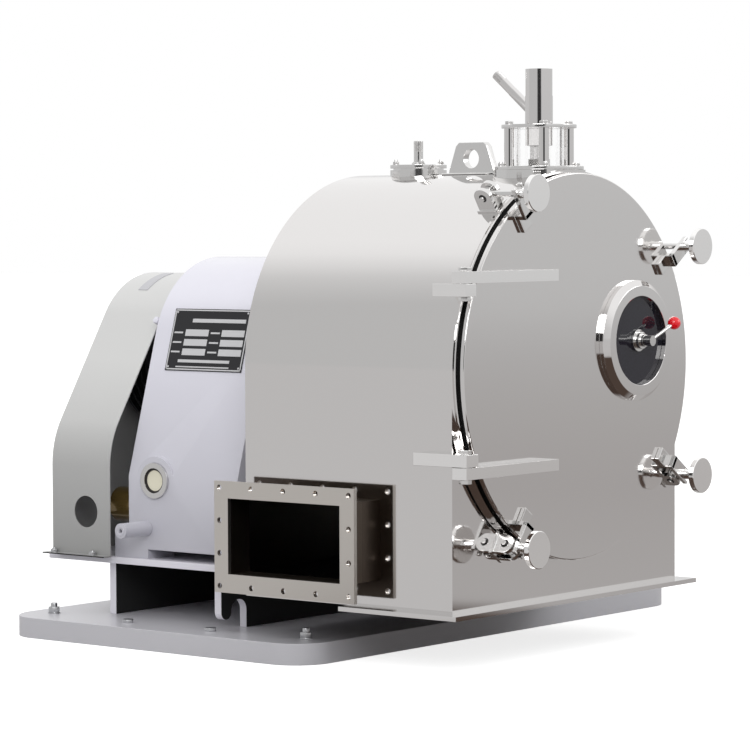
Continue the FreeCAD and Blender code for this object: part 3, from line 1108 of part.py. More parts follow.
def make_motor():
    """A foot-mounted motor on two rails, beside the bearing housing."""
    place("motor_front", "motor_rear - motor_length", "motor's fan end")
    place("motor_foot", "base_thickness + rail_height", "underside of the motor's feet")
    rails = []
    for i, y in enumerate(("motor_rear - 100", "motor_rear - 100 - rail_spread")):
        rails.append(block(f"rail_{i}", ("motor_offset - motor_radius", f"{y} - rail_width",
                                         "base_thickness"),
                           ("2*motor_radius", "rail_width", "rail_height")))
    node("motor_rails", gather("rail_pair", rails))
    drum = rod("motor_drum", "Y", ("motor_offset", "motor_front", "motor_axis"), "motor_radius",
               "motor_length")
    feet = block("motor_feet", ("motor_offset - motor_radius + 10", "motor_rear - 160 - rail_spread",
                                "motor_foot"),
                 ("2*motor_radius - 20", "rail_spread + 60", "motor_height/3"))
    nose = rod("motor_nose", "Y", ("motor_offset", "motor_front - 6", "motor_axis"),
               "motor_radius - 12", "20")
    box = block("motor_box", ("motor_offset - 70", "motor_rear - 250", "motor_axis + motor_radius - 20"),
                ("140", "130", "70"))
    node("motor", join("motor_solid", [drum, feet, nose, box]))


def guard_outline(shrink, drop, y):
    """The guard's outline about both pulleys, as a face; shrink is the sheet's thickness."""
    left = known["guard_left"] - shrink
    top = known["guard_round"] - shrink
    right = known["guard_right_round"] - shrink
    axis = known["axis_height"]
    motor_x, motor_z = known["motor_offset"], known["motor_axis"]
    lean = math.atan2(known["guard_left"] - known["guard_touch_out"],
                      known["guard_touch_up"] - known["guard_bend"])
    bend_z = axis + (top - left * math.cos(lean)) / math.sin(lean)
    touch = Vector(-top * math.cos(lean), y, axis + top * math.sin(lean))
    bend = Vector(-left, y, bend_z)
    foot = Vector(-left, y, known["tray_top"] - drop)
    heading = math.atan2(motor_z - axis, motor_x)
    reach = math.hypot(motor_x, motor_z - axis)
    swing = heading + math.acos((top - right) / reach)
    big_end = Vector(top * math.cos(swing), y, axis + top * math.sin(swing))
    crown = Vector(0, y, axis + top)
    small_start = Vector(motor_x + right * math.cos(swing), y, motor_z + right * math.sin(swing))
    half = swing / 2
    small_middle = Vector(motor_x + right * math.cos(half), y, motor_z + right * math.sin(half))
    small_end = Vector(motor_x + right, y, motor_z)
    right_foot = Vector(motor_x + right, y, known["base_thickness"] - drop)
    inner_low = Vector(known["tray_half_width"] + 5 + shrink, y, known["base_thickness"] - drop)
    inner_high = Vector(known["tray_half_width"] + 5 + shrink, y, known["tray_top"] - drop)
    trim = known["guard_bend_round"] * math.tan(lean / 2)
    below = Vector(-left, y, bend_z - trim)
    slope = (touch - bend).normalize()
    above = bend + slope * trim
    shift = known["guard_bend_round"]
    centre = Vector(-left + shift, y, bend_z - trim)
    middle = centre + Vector(-shift * math.cos(lean / 2), 0, shift * math.sin(lean / 2))
    edges = [Part.LineSegment(foot, below).toShape(), Part.Arc(below, middle, above).toShape(),
             Part.LineSegment(above, touch).toShape(), Part.Arc(touch, crown, big_end).toShape(),
             Part.LineSegment(big_end, small_start).toShape(),
             Part.Arc(small_start, small_middle, small_end).toShape(),
             Part.LineSegment(small_end, right_foot).toShape(),
             Part.LineSegment(right_foot, inner_low).toShape(),
             Part.LineSegment(inner_low, inner_high).toShape(),
             Part.LineSegment(inner_high, foot).toShape()]
    return Part.Face(Part.Wire(edges))


def make_guard():
    """Folded sheet over belts and pulleys, closed behind and open towards the housing."""
    start = known["guard_front"]
    depth = known["guard_depth"]
    skin = known["guard_skin"]
    outer = guard_outline(0, 0, start).extrude(Vector(0, depth, 0))
    inner = guard_outline(skin, 1, start - 1).extrude(Vector(0, depth - skin + 1, 0))
    hood = outer.cut(inner)
    hole = Part.makeCylinder(known["guard_hole"], 20,
                             Vector(-known["guard_left"] - 10, known["guard_hole_place"],
                                    known["guard_hole_height"]), Vector(1, 0, 0))
    strip = Part.makeBox(known["guard_foot"] + 1, depth + 14, skin,
                         Vector(-known["guard_left"] - known["guard_foot"], start, known["tray_top"]))
    piece = doc.addObject("Part::Feature", "guard_hood")
    piece.Shape = hood.cut(hole).fuse(strip).removeSplitter()
    node("belt_guard", piece)


def main():
    """Build every piece, check it and write it."""
    make_base_plate()
    make_pedestal()
    make_housing()
    make_casing()
    make_duct()
    make_hinges()
    make_clamps()
    make_door()
    make_top_fittings()
    make_rotor()
    make_motor()
    make_guard()
    doc.recompute()
    faults = []
    for thing in doc.Objects:
        if {"Invalid", "Error"} & set(thing.State):
            faults.append(f"{thing.Name}: {thing.State}")
    for piece in nodes:
        shape = piece.Shape
        if shape.isNull() or not shape.isValid() or not shape.Solids:
            faults.append(f"{piece.Label}: no valid solid")
    if faults:
        raise RuntimeError("\n".join(faults))
    os.makedirs("parts", exist_ok=True)
    for piece in nodes:
        piece.Shape.exportStep(f"parts/{piece.Label}.step")
        print(f"{piece.Label}: {len(piece.Shape.Solids)} solid(s), {piece.Shape.Volume / 1e6:.3f} litres")


main()
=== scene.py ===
import json
import math

import bpy
from mathutils import Matrix, Vector

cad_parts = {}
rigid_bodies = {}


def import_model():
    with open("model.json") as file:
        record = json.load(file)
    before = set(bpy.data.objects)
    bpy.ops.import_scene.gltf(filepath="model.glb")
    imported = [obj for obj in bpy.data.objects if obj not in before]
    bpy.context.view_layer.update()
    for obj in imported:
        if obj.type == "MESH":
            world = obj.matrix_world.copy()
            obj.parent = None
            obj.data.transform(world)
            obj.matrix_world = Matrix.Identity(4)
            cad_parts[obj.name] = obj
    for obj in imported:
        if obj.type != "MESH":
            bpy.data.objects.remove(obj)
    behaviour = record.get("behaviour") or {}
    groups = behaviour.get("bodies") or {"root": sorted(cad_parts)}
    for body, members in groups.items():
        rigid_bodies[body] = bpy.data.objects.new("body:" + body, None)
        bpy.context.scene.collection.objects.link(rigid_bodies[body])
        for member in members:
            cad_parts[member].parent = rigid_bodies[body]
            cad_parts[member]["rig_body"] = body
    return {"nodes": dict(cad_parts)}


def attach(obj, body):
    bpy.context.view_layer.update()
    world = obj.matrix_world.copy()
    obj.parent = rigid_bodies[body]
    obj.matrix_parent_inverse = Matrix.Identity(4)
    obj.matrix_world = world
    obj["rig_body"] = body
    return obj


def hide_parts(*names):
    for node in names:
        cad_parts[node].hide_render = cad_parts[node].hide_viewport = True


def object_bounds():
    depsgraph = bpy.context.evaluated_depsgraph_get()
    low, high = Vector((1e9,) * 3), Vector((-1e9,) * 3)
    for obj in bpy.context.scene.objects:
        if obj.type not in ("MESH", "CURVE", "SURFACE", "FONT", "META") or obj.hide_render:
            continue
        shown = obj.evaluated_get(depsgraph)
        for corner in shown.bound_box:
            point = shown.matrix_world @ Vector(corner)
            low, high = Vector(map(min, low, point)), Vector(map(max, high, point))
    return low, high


# Camera.
# A long lens well in front and to the left, a little above the door's middle, as the
# photograph was taken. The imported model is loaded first, because all that follows sits on it.

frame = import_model()
cad_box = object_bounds()
CAMERA_PLACE = Vector((-5.8078, -4.9463, 0.9769))
CAMERA_HEADING = math.radians(51.402)
CAMERA_DIP = math.radians(2.770)
CAMERA_ROLL = math.radians(-0.232)
LENS_MM = 152.92
SENSOR_MM = 36.0


def camera_turn(heading, dip, roll):
    """The rotation of a camera that looks along a heading from +Y towards +X, dipped and rolled."""
    level_reach = math.cos(dip)
    forward = Vector((math.sin(heading) * level_reach, math.cos(heading) * level_reach, -math.sin(dip)))
    level = Vector((math.cos(heading), -math.sin(heading), 0.0))
    upright = level.cross(forward)
    right = math.cos(roll) * level + math.sin(roll) * upright
    up = math.cos(roll) * upright - math.sin(roll) * level
    return Matrix((right, up, -forward)).transposed()


bpy.ops.object.camera_add(location=CAMERA_PLACE)
camera = bpy.context.object
camera.name = "photo_camera"
camera.rotation_euler = camera_turn(CAMERA_HEADING, CAMERA_DIP, CAMERA_ROLL).to_euler()
camera.data.lens = LENS_MM
camera.data.sensor_fit = "HORIZONTAL"
camera.data.sensor_width = SENSOR_MM
camera.data.clip_end = 60.0
scene = bpy.context.scene
scene.camera = camera
scene.view_settings.view_transform = "Standard"


# Floor and studio light.
# A pale paper floor that the camera sees as white, and a soft pale room. For glossy rays the floor
# glows as a painted reflection: darker close by, paler to the left and dark on a round patch.
# Polished steel also mirrors the bright ceiling and a dark flag.

FLOOR_WHITE = "#F4F4F4"
FLOOR_GLOW = 0.85
FLOOR_PALE = "#BCBCBC"
FLOOR_ACROSS = 80.0
FLOOR_GAP = 0.0005
FLOOR_PAINTED_REFLECTION = [(0.0, "#BBB9B8"), (0.17, "#B3B0AF"), (0.33, "#B8B6B5"), (0.60, "#C0BFBF"),
                  (1.0, "#CCCCCC")]
FLOOR_REACH = 30.0
PAINTED_REFLECTION_LEFT = "#CECDCD"
LEFT_ENDS = -1.2
RIGHT_STARTS = 0.6
DARK_PAINTED_REFLECTION = "#52453E"
DARK_REFLECTION_PLACE = (-0.5, -1.3, 0.0)
DARK_REFLECTION_ROUND = 1.0
DARK_REFLECTION_FADES = 1.3
ROOM_HEIGHT = [(0.0, "#CBCBCB"), (0.30, "#FFFFFF")]
ROOM_ACROSS = [(0.19, "#C8C8C8"), (0.23, "#D1D1D1"), (0.275, "#DCDCDC"), (0.32, "#EDEDED"),
               (0.375, "#FBFBFB"), (0.435, "#FFFFFF")]
ROOM_MIRRORED = 1.03
ROOM_LIGHT_LEVEL = 0.50
ROOM_LIGHT_OVERHEAD = 1.05
FLAG_DIRECTION = (-0.778, -0.620, 0.07)
FLAG_FADES = 0.945
FLAG_FULL = 0.98
FLAG_DARK = 0.06
WHITE = "#FFFFFF"


def linear(hex_colour, alpha=1.0):
    """A colour written as sRGB hex, as the linear values that a shader takes."""
    channels = [int(hex_colour[i:i + 2], 16) / 255 for i in (1, 3, 5)]
    return tuple(c / 12.92 if c <= 0.04045 else ((c + 0.055) / 1.055) ** 2.4 for c in channels) + (alpha,)


def add_node(tree, kind, settings=None, inputs=None):
    """Add one shader node, set its properties, and set or link its inputs."""
    node = tree.nodes.new(kind)
    for key, value in (settings or {}).items():
        setattr(node, key, value)
    for key, value in (inputs or {}).items():
        if isinstance(value, bpy.types.NodeSocket):
            tree.links.new(value, node.inputs[key])
        else:
            node.inputs[key].default_value = value
    return node


def grade(ramp, stops):
    """Fill a colour ramp with its stops."""
    while len(ramp.color_ramp.elements) < len(stops):
        ramp.color_ramp.elements.new(0.5)
    for element, (position, tone) in zip(ramp.color_ramp.elements, stops):
        element.position = position
        element.color = linear(tone)


def new_material(name):
    """A material with an empty shader tree and its output."""
    material = bpy.data.materials.new(name)
    material.use_nodes = True
    material.node_tree.nodes.clear()
    output = add_node(material.node_tree, "ShaderNodeOutputMaterial")
    return material, material.node_tree, output


def dress(piece, material):
    """Give a piece one material all over."""
    piece.data.materials.clear()
    piece.data.materials.append(material)


def deselect():
    """Leave nothing selected, so that an operator acts only on what comes next."""
    if bpy.context.object and bpy.context.object.mode != "OBJECT":
        bpy.ops.object.mode_set(mode="OBJECT")
    bpy.ops.object.select_all(action="DESELECT")


def alone(piece):
    """Select one piece and make it the active one."""
    deselect()
    piece.select_set(True)
    bpy.context.view_layer.objects.active = piece


white_paper, tree, output = new_material("matt_white_paper")
path = add_node(tree, "ShaderNodeLightPath")
paper = add_node(tree, "ShaderNodeBsdfDiffuse", inputs={"Color": linear(FLOOR_PALE), "Roughness": 1.0})
shown = add_node(tree, "ShaderNodeEmission", inputs={"Color": linear(FLOOR_WHITE), "Strength": FLOOR_GLOW})
bright = add_node(tree, "ShaderNodeAddShader", inputs={0: paper.outputs[0], 1: shown.outputs[0]})
spot = add_node(tree, "ShaderNodeTexCoord")
away = add_node(tree, "ShaderNodeVectorMath", {"operation": "LENGTH"}, {0: spot.outputs["Object"]})
share = add_node(tree, "ShaderNodeMath", {"operation": "DIVIDE"},
                 {0: away.outputs["Value"], 1: FLOOR_REACH})
mirrored = add_node(tree, "ShaderNodeValToRGB", inputs={"Fac": share.outputs[0]})
grade(mirrored, FLOOR_PAINTED_REFLECTION)
place = add_node(tree, "ShaderNodeSeparateXYZ", inputs={"Vector": spot.outputs["Object"]})
rightwards = add_node(tree, "ShaderNodeMapRange",
                      inputs={"Value": place.outputs["X"], "From Min": LEFT_ENDS, "From Max": RIGHT_STARTS})
sided = add_node(tree, "ShaderNodeMix", {"data_type": "RGBA"},
                 {"Factor": rightwards.outputs["Result"], "A": linear(PAINTED_REFLECTION_LEFT),
                  "B": mirrored.outputs["Color"]})
off_dark_reflection = add_node(tree, "ShaderNodeVectorMath", {"operation": "DISTANCE"},
                   {0: spot.outputs["Object"], 1: DARK_REFLECTION_PLACE})
dark_reflection_edge = add_node(tree, "ShaderNodeMapRange",
                    inputs={"Value": off_dark_reflection.outputs["Value"], "From Min": DARK_REFLECTION_ROUND,
                            "From Max": DARK_REFLECTION_FADES})
painted_reflection = add_node(tree, "ShaderNodeMix", {"data_type": "RGBA"},
                {"Factor": dark_reflection_edge.outputs["Result"], "A": linear(DARK_PAINTED_REFLECTION), "B": sided.outputs["Result"]})
reflection_glow = add_node(tree, "ShaderNodeEmission", inputs={"Color": painted_reflection.outputs["Result"], "Strength": 1.0})
# Glossy rays see this emission, a painted reflection, in place of the paper floor.
steel_sees = add_node(tree, "ShaderNodeMixShader",
                      inputs={0: path.outputs["Is Glossy Ray"], 1: paper.outputs[0], 2: reflection_glow.outputs[0]})
straight = add_node(tree, "ShaderNodeMath", {"operation": "MAXIMUM"},
                    {0: path.outputs["Is Camera Ray"], 1: path.outputs["Is Transmission Ray"]})
seen = add_node(tree, "ShaderNodeMixShader",
                inputs={0: straight.outputs[0], 1: steel_sees.outputs[0], 2: bright.outputs[0]})
tree.links.new(seen.outputs[0], output.inputs["Surface"])
deselect()
bpy.ops.mesh.primitive_plane_add(size=FLOOR_ACROSS, location=(0, 0, cad_box[0][2] - FLOOR_GAP))
floor = bpy.context.object
floor.name = "floor"
dress(floor, white_paper)

world = bpy.data.worlds.new("pale_room")
scene.world = world
world.use_nodes = True
tree = world.node_tree
tree.nodes.clear()
direction = add_node(tree, "ShaderNodeTexCoord")
along = add_node(tree, "ShaderNodeSeparateXYZ", inputs={"Vector": direction.outputs["Generated"]})
height = add_node(tree, "ShaderNodeValToRGB", inputs={"Fac": along.outputs["Z"]})
grade(height, ROOM_HEIGHT)
halfway = add_node(tree, "ShaderNodeMath", {"operation": "MULTIPLY_ADD"},
                   {0: along.outputs["X"], 1: 0.5, 2: 0.5})
across = add_node(tree, "ShaderNodeValToRGB", inputs={"Fac": halfway.outputs[0]})
grade(across, ROOM_ACROSS)
walls = add_node(tree, "ShaderNodeMix", {"data_type": "RGBA", "blend_type": "DARKEN"},
                 {"Factor": 1.0, "A": height.outputs["Color"], "B": across.outputs["Color"]})
facing = add_node(tree, "ShaderNodeVectorMath", {"operation": "DOT_PRODUCT"},
                  {0: direction.outputs["Generated"], 1: Vector(FLAG_DIRECTION).normalized()})
flag = add_node(tree, "ShaderNodeMapRange",
                inputs={"Value": facing.outputs["Value"], "From Min": FLAG_FADES, "From Max": FLAG_FULL,
                        "To Min": 1.0, "To Max": FLAG_DARK})
room = add_node(tree, "ShaderNodeMix", {"data_type": "RGBA", "blend_type": "MULTIPLY"},
                {"Factor": 1.0, "A": walls.outputs["Result"], "B": flag.outputs["Result"]})
mirrored = add_node(tree, "ShaderNodeBackground",
                    inputs={"Color": room.outputs["Result"], "Strength": ROOM_MIRRORED})
overhead = add_node(tree, "ShaderNodeMapRange",
                    inputs={"Value": along.outputs["Z"], "To Min": ROOM_LIGHT_LEVEL,
                            "To Max": ROOM_LIGHT_OVERHEAD})
lit = add_node(tree, "ShaderNodeBackground",
               inputs={"Color": linear(WHITE), "Strength": overhead.outputs["Result"]})
backdrop = add_node(tree, "ShaderNodeBackground", inputs={"Color": linear(WHITE), "Strength": 1.0})
path = add_node(tree, "ShaderNodeLightPath")
shiny = add_node(tree, "ShaderNodeMixShader",
                 inputs={0: path.outputs["Is Glossy Ray"], 1: lit.outputs[0], 2: mirrored.outputs[0]})
clear = add_node(tree, "ShaderNodeMixShader",
                 inputs={0: path.outputs["Is Transmission Ray"], 1: shiny.outputs[0],
                         2: backdrop.outputs[0]})
seen = add_node(tree, "ShaderNodeMixShader",
                inputs={0: path.outputs["Is Camera Ray"], 1: clear.outputs[0], 2: backdrop.outputs[0]})
add_node(tree, "ShaderNodeOutputWorld", inputs={"Surface": seen.outputs[0]})


LAMP_ACROSS = 2.6
MACHINE_MIDDLE = (0.1, -0.2, 0.6)


def soft_lamp(name, place, power):
    """A square soft lamp that faces the machine's middle."""
    bpy.ops.object.light_add(type="AREA", location=place)
    lamp = bpy.context.object
    lamp.name = name
    lamp.data.shape = "SQUARE"
    lamp.data.size = LAMP_ACROSS
    lamp.data.energy = power
    lamp.rotation_euler = (Vector(MACHINE_MIDDLE) - Vector(place)).to_track_quat("-Z", "Y").to_euler()
    return lamp


soft_lamp("key_lamp", (-3.8, -3.2, 3.0), 105)
soft_lamp("fill_lamp", (3.4, -4.2, 3.0), 55)
back_lamp = soft_lamp("back_lamp", (-1.0, 4.2, 4.0), 60)
back_lamp.visible_glossy = False


# Base plate and motor rails.
# Thick flat steel plate with rounded corners and two flat rails, sprayed mid grey over
# primer. The flame-cut edges are dressed round, and that edge catches the light.

BASE_GREY = "#C6C5CA"
ORANGE_PEEL_MM = 3.0
PEEL_DEPTH = 0.03
COAT_HAZE = 0.28
CLOUDS_PER_METRE = 3.0
CLOUD_SHADE = 0.94
# Heights in metres between which painted shade darkens enamel towards the bottom.
SHADE_FULL_BELOW = 0.15
SHADE_ENDS_ABOVE = 0.65
MERGE_WITHIN = 0.00002
SPUN_MERGE_WITHIN = 0.00001
FLAT_WITHIN = math.radians(0.8)


def sprayed_enamel(name, tone, gloss, coat, foot=1.0):
    """Machine enamel with orange peel and a clear shine; a foot below 1 is painted shade, darker towards
    the bottom.
    """
    material, tree, output = new_material(name)
    spot = add_node(tree, "ShaderNodeTexCoord")
    peel = add_node(tree, "ShaderNodeTexNoise",
                    inputs={"Vector": spot.outputs["Object"], "Scale": 1000 / ORANGE_PEEL_MM,
                            "Detail": 1.0})
    cloud = add_node(tree, "ShaderNodeTexNoise",
                     inputs={"Vector": spot.outputs["Object"], "Scale": CLOUDS_PER_METRE, "Detail": 4.0})
    tint = add_node(tree, "ShaderNodeMix", {"data_type": "RGBA"},
                    {"Factor": cloud.outputs["Fac"], "A": linear(tone),
                     "B": tuple(c * CLOUD_SHADE for c in linear(tone)[:3]) + (1.0,)})
    place = add_node(tree, "ShaderNodeSeparateXYZ", inputs={"Vector": spot.outputs["Object"]})
    # film: painted shade, a ramp from foot up to the full tone, darker towards the bottom.
    film = add_node(tree, "ShaderNodeMapRange",
                    inputs={"Value": place.outputs["Z"], "From Min": SHADE_FULL_BELOW, "From Max": SHADE_ENDS_ABOVE,
                            "To Min": foot, "To Max": 1.0})
    foot_shaded = add_node(tree, "ShaderNodeMix", {"data_type": "RGBA", "blend_type": "MULTIPLY"},
                      {"Factor": 1.0, "A": tint.outputs["Result"], "B": film.outputs["Result"]})
    bump = add_node(tree, "ShaderNodeBump",
                    inputs={"Height": peel.outputs["Fac"], "Strength": PEEL_DEPTH, "Distance": 0.001})
    paint = add_node(tree, "ShaderNodeBsdfPrincipled",
                     inputs={"Base Color": foot_shaded.outputs["Result"], "Roughness": gloss,
                             "Coat Weight": coat, "Coat Roughness": COAT_HAZE,
                             "Normal": bump.outputs["Normal"]})
    tree.links.new(paint.outputs[0], output.inputs["Surface"])
    return material


def bevel(piece, width, steps=2, angle=30):
    """Round a piece's sharp edges."""
    modifier = piece.modifiers.new("bevel", "BEVEL")
    modifier.width = width / 1000
    modifier.segments = steps
    modifier.limit_method = "ANGLE"
    modifier.angle_limit = math.radians(angle)
    alone(piece)
    bpy.ops.object.modifier_apply(modifier=modifier.name)
    return piece


def finish_piece(piece, material, body):
    """Give a piece its material and its body."""
    dress(piece, material)
    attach(piece, body)
    return piece


def softened(name, material, width, steps=2, angle=30):
    """A merged copy of a CAD node with its sharp edges broken, which stands in the node's place."""
    source = frame["nodes"][name]
    piece = bpy.data.objects.new(name + "_finished", source.data.copy())
    bpy.context.collection.objects.link(piece)
    alone(piece)
    bpy.ops.object.mode_set(mode="EDIT")
    bpy.ops.mesh.select_all(action="SELECT")
    bpy.ops.mesh.remove_doubles(threshold=MERGE_WITHIN)
    bpy.ops.mesh.dissolve_limited(angle_limit=FLAT_WITHIN)
    bpy.ops.object.mode_set(mode="OBJECT")
    if width:
        bevel(piece, width, steps, angle)
    alone(piece)
    bpy.ops.object.shade_smooth_by_angle(angle=math.radians(angle))
    flow = piece.modifiers.new("flow", "WEIGHTED_NORMAL")
    flow.keep_sharp = True
    bpy.ops.object.modifier_apply(modifier=flow.name)
    finish_piece(piece, material, source["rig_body"])
    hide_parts(name)
    return piece


base_enamel = sprayed_enamel("mid_grey_machine_enamel", BASE_GREY, 0.35, 0.3)
softened("base_plate", base_enamel, 3.0, 3)
softened("motor_rails", base_enamel, 1.5)


# Base fixings.
# Four foundation studs with a nut and a washer each, and low hexagon bolts along the base's
# sides. They are zinc-plated steel, which is a cool light grey and a little dull.

ZINC = "#C9CACC"
STUD_THREAD = 16.0
STUD_ACROSS = 24.0
BASE_TOP = 48.0
STUD_PLACES = [(-390, 358), (-390, -422), (896, 358), (896, -422)]
BOLT_PLACES = [(-416, 95), (-416, -161), (922, 95), (922, -161)]
BUFF_WAVE_MM = 260.0
BUFF_GRAIN_MM = 20.0
BUFF_GRAIN_STRETCH = (1.0, 1.0, 14.0)


def mm(value):
    """Millimetres as metres."""
    return value / 1000.0


def polished_steel(name, tone, gloss, wave=0.02):
    """Buffed steel with a faint wave, and a grain in its gloss that is drawn coarse so as to show."""
    material, tree, output = new_material(name)
    spot = add_node(tree, "ShaderNodeTexCoord")
    wide = add_node(tree, "ShaderNodeTexNoise",
                    inputs={"Vector": spot.outputs["Object"], "Scale": 1000 / BUFF_WAVE_MM, "Detail": 2.0})
    stretch = add_node(tree, "ShaderNodeMapping",
                       inputs={"Vector": spot.outputs["Object"], "Scale": BUFF_GRAIN_STRETCH})
    grain = add_node(tree, "ShaderNodeTexNoise",
                     inputs={"Vector": stretch.outputs[0], "Scale": 1000 / BUFF_GRAIN_MM, "Detail": 3.0})
    haze = add_node(tree, "ShaderNodeMapRange",
                    inputs={"Value": grain.outputs["Fac"], "To Min": gloss * 0.85, "To Max": gloss * 1.2})
    bump = add_node(tree, "ShaderNodeBump",
                    inputs={"Height": wide.outputs["Fac"], "Strength": wave, "Distance": 0.01})
    metal = add_node(tree, "ShaderNodeBsdfPrincipled",
                     inputs={"Base Color": linear(tone), "Metallic": 1.0,
                             "Roughness": haze.outputs["Result"], "Normal": bump.outputs["Normal"]})
    tree.links.new(metal.outputs[0], output.inputs["Surface"])
    return material


def settle(piece, place=(0, 0, 0), towards=(0, 0, 1), smooth=32):
    """Turn a piece's own Z towards a direction, move it, keep its place in its mesh and smooth it."""
    piece.rotation_mode = "QUATERNION"
    piece.rotation_quaternion = Vector((0, 0, 1)).rotation_difference(Vector(towards).normalized())
    piece.location = [mm(v) for v in place]
    alone(piece)
    bpy.ops.object.transform_apply(location=True, rotation=True, scale=True)
    bpy.ops.object.shade_smooth_by_angle(angle=math.radians(smooth))
    return piece


def prism(name, radius, length, sides=48, edge=0.6, place=(0, 0, 0), towards=(0, 0, 1)):
    """A straight bar with broken edges, from its place along a direction."""
    deselect()
    bpy.ops.mesh.primitive_cylinder_add(vertices=sides, radius=mm(radius), depth=mm(length),
                                        location=(0, 0, mm(length / 2)))
    piece = bpy.context.object
    piece.name = name
    alone(piece)
    bpy.ops.object.transform_apply(location=True)
    bevel(piece, edge)
    return settle(piece, place, towards)


def join(name, pieces):
    """Make one piece of several."""
    deselect()
    for piece in pieces:
        piece.select_set(True)
    bpy.context.view_layer.objects.active = pieces[0]
    if len(pieces) > 1:
        bpy.ops.object.join()
    pieces[0].name = name
    return pieces[0]


def copies(pattern, places, towards=(0, 0, 1)):
    """Copy a pattern, each with its own mesh, to every place."""
    made = []
    for place in places:
        piece = pattern.copy()
        piece.data = pattern.data.copy()
        bpy.context.collection.objects.link(piece)
        made.append(settle(piece, place, towards))
    bpy.data.objects.remove(pattern)
    return made


def fastener(thread, across, tall, stud=0.0, washer=0.0):
    """A hexagon head or nut on a washer, with the end of its stud."""
    stack = []
    low = 0.0
    if washer:
        stack.append(prism("washer", washer, thread * 0.18, 32, 0.4))
        low = thread * 0.18
    stack.append(prism("head", across / math.sqrt(3), tall, 6, thread * 0.06, (0, 0, low)))
    if stud:
        stack.append(prism("end", thread / 2, tall + stud, 20, thread * 0.08, (0, 0, low)))
    return join("fastener", stack)


zinc = polished_steel("zinc_plated_steel", ZINC, 0.28, 0.0)
stud_spots = [(x, y, BASE_TOP) for x, y in STUD_PLACES]
studs = copies(fastener(STUD_THREAD, STUD_ACROSS, 13, 9, 15), stud_spots)
bolts = copies(fastener(STUD_THREAD, STUD_ACROSS, 8), [(x, y, BASE_TOP) for x, y in BOLT_PLACES])
finish_piece(join("base_fixings", studs + bolts), zinc, "machine")


# Pedestal plates and tray.
# Flame-cut steel plate, welded up and sprayed lilac white on the edges that show. The plates'
# broad faces, in the bay between them, are near-black painted shade.

EDGE_LILAC = "#E4E2EA"
PAINTED_SHADE_BLACK = "#0B0B0C"


def paint_faces(piece, material, chosen):
    """Give a second material to the faces that a test picks."""
    piece.data.materials.append(material)
    for face in piece.data.polygons:
        if chosen(face):
            face.material_index = 1


tray_enamel = sprayed_enamel("lilac_white_plate_enamel", EDGE_LILAC, 0.4, 0.2)
painted_shade = sprayed_enamel("near_black_primer", PAINTED_SHADE_BLACK, 0.9, 0.0)
softened("tray_plate", tray_enamel, 1.5)
# The plates' faces towards the front and back carry painted shade in near-black.
for name in ("pedestal_front_plate", "pedestal_rear_plate"):
    paint_faces(softened(name, tray_enamel, 1.0), painted_shade, lambda face: abs(face.normal.y) > 0.9)


# Bearing housing.
# A grey iron casting with a round top, filled, rubbed down and sprayed lilac white. An oil
# sight glass in a boss, a drain stub and a small breather are screwed into its side.

HOUSING_LILAC = "#DDDCE6"
SIGHT_IVORY = "#E4DFC9"
SIGHT_CENTRE = Vector((-330.0, 85.0, 373.0))
DRAIN_END = Vector((-420.0, 112.0, 260.0))
BREATHER_PLACE = Vector((-206.0, 181.0, 738.0))
BREATHER_WAY = (-0.89, 0, 0.45)
DRAIN_RINGS = [(5, 0), (8, 0.2), (8.6, 1.0), (11.4, 1.0), (12, 0.2), (16.5, 0.2), (17, -0.4), (17, -1.5),
               (5, -1.5), (5, 0)]
SIGHT_SEAL = [(24.6, 0), (24.6, 1.6), (28.8, 1.6), (28.8, 0), (24.6, 0)]


def turned(name, outline, place, towards, steps=64):
    """A round piece: half its outline is drawn point by point and spun about its own axis."""
    deselect()
    bpy.ops.mesh.primitive_plane_add(size=0.001)
    piece = bpy.context.object
    piece.name = name
    bpy.ops.object.mode_set(mode="EDIT")
    bpy.ops.mesh.merge(type="CENTER")
    bpy.ops.transform.translate(value=(mm(outline[0][0]), 0, mm(outline[0][1])))
    for (r0, a0), (r1, a1) in zip(outline, outline[1:]):
        bpy.ops.mesh.extrude_region_move(TRANSFORM_OT_translate={"value": (mm(r1 - r0), 0, mm(a1 - a0))})
    bpy.ops.mesh.select_all(action="SELECT")
    bpy.ops.mesh.spin(steps=steps, angle=math.tau, center=(0, 0, 0), axis=(0, 0, 1))
    bpy.ops.mesh.select_all(action="SELECT")
    bpy.ops.mesh.remove_doubles(threshold=SPUN_MERGE_WITHIN)
    bpy.ops.mesh.normals_make_consistent(inside=False)
    bpy.ops.object.mode_set(mode="OBJECT")
    return settle(piece, place, towards)


def plain(name, tone, gloss, extra=None):
    """A material of one colour and one gloss all over."""
    material, tree, output = new_material(name)
    inputs = {"Base Color": linear(tone), "Roughness": gloss}
    inputs.update(extra or {})
    skin = add_node(tree, "ShaderNodeBsdfPrincipled", inputs=inputs)
    tree.links.new(skin.outputs[0], output.inputs["Surface"])
    return material


# The housing's enamel carries painted shade, darker towards the bottom.
housing_enamel = sprayed_enamel("lilac_white_machine_enamel", HOUSING_LILAC, 0.22, 0.5, 0.66)
softened("bearing_housing", housing_enamel, 5.0, 3)
softened("drain_stub", housing_enamel, 1.2)
rings = turned("drain_rings", DRAIN_RINGS, DRAIN_END, (-1, 0, 0), 40)
finish_piece(rings, housing_enamel, "machine")
satin_steel = polished_steel("turned_stainless_bar", "#DCDBDA", 0.16, 0.0)
softened("sight_ring", satin_steel, 1.2)
oil_disc = plain("ivory_oil_sight_disc", SIGHT_IVORY, 0.12, {"Coat Weight": 0.8})
dress(frame["nodes"]["sight_glass"], oil_disc)
gasket = plain("dark_fibre_gasket", "#2E2A28", 0.7)
seal = turned("sight_seal", SIGHT_SEAL, SIGHT_CENTRE, (-1, 0, 0), 48)
finish_piece(seal, gasket, "machine")
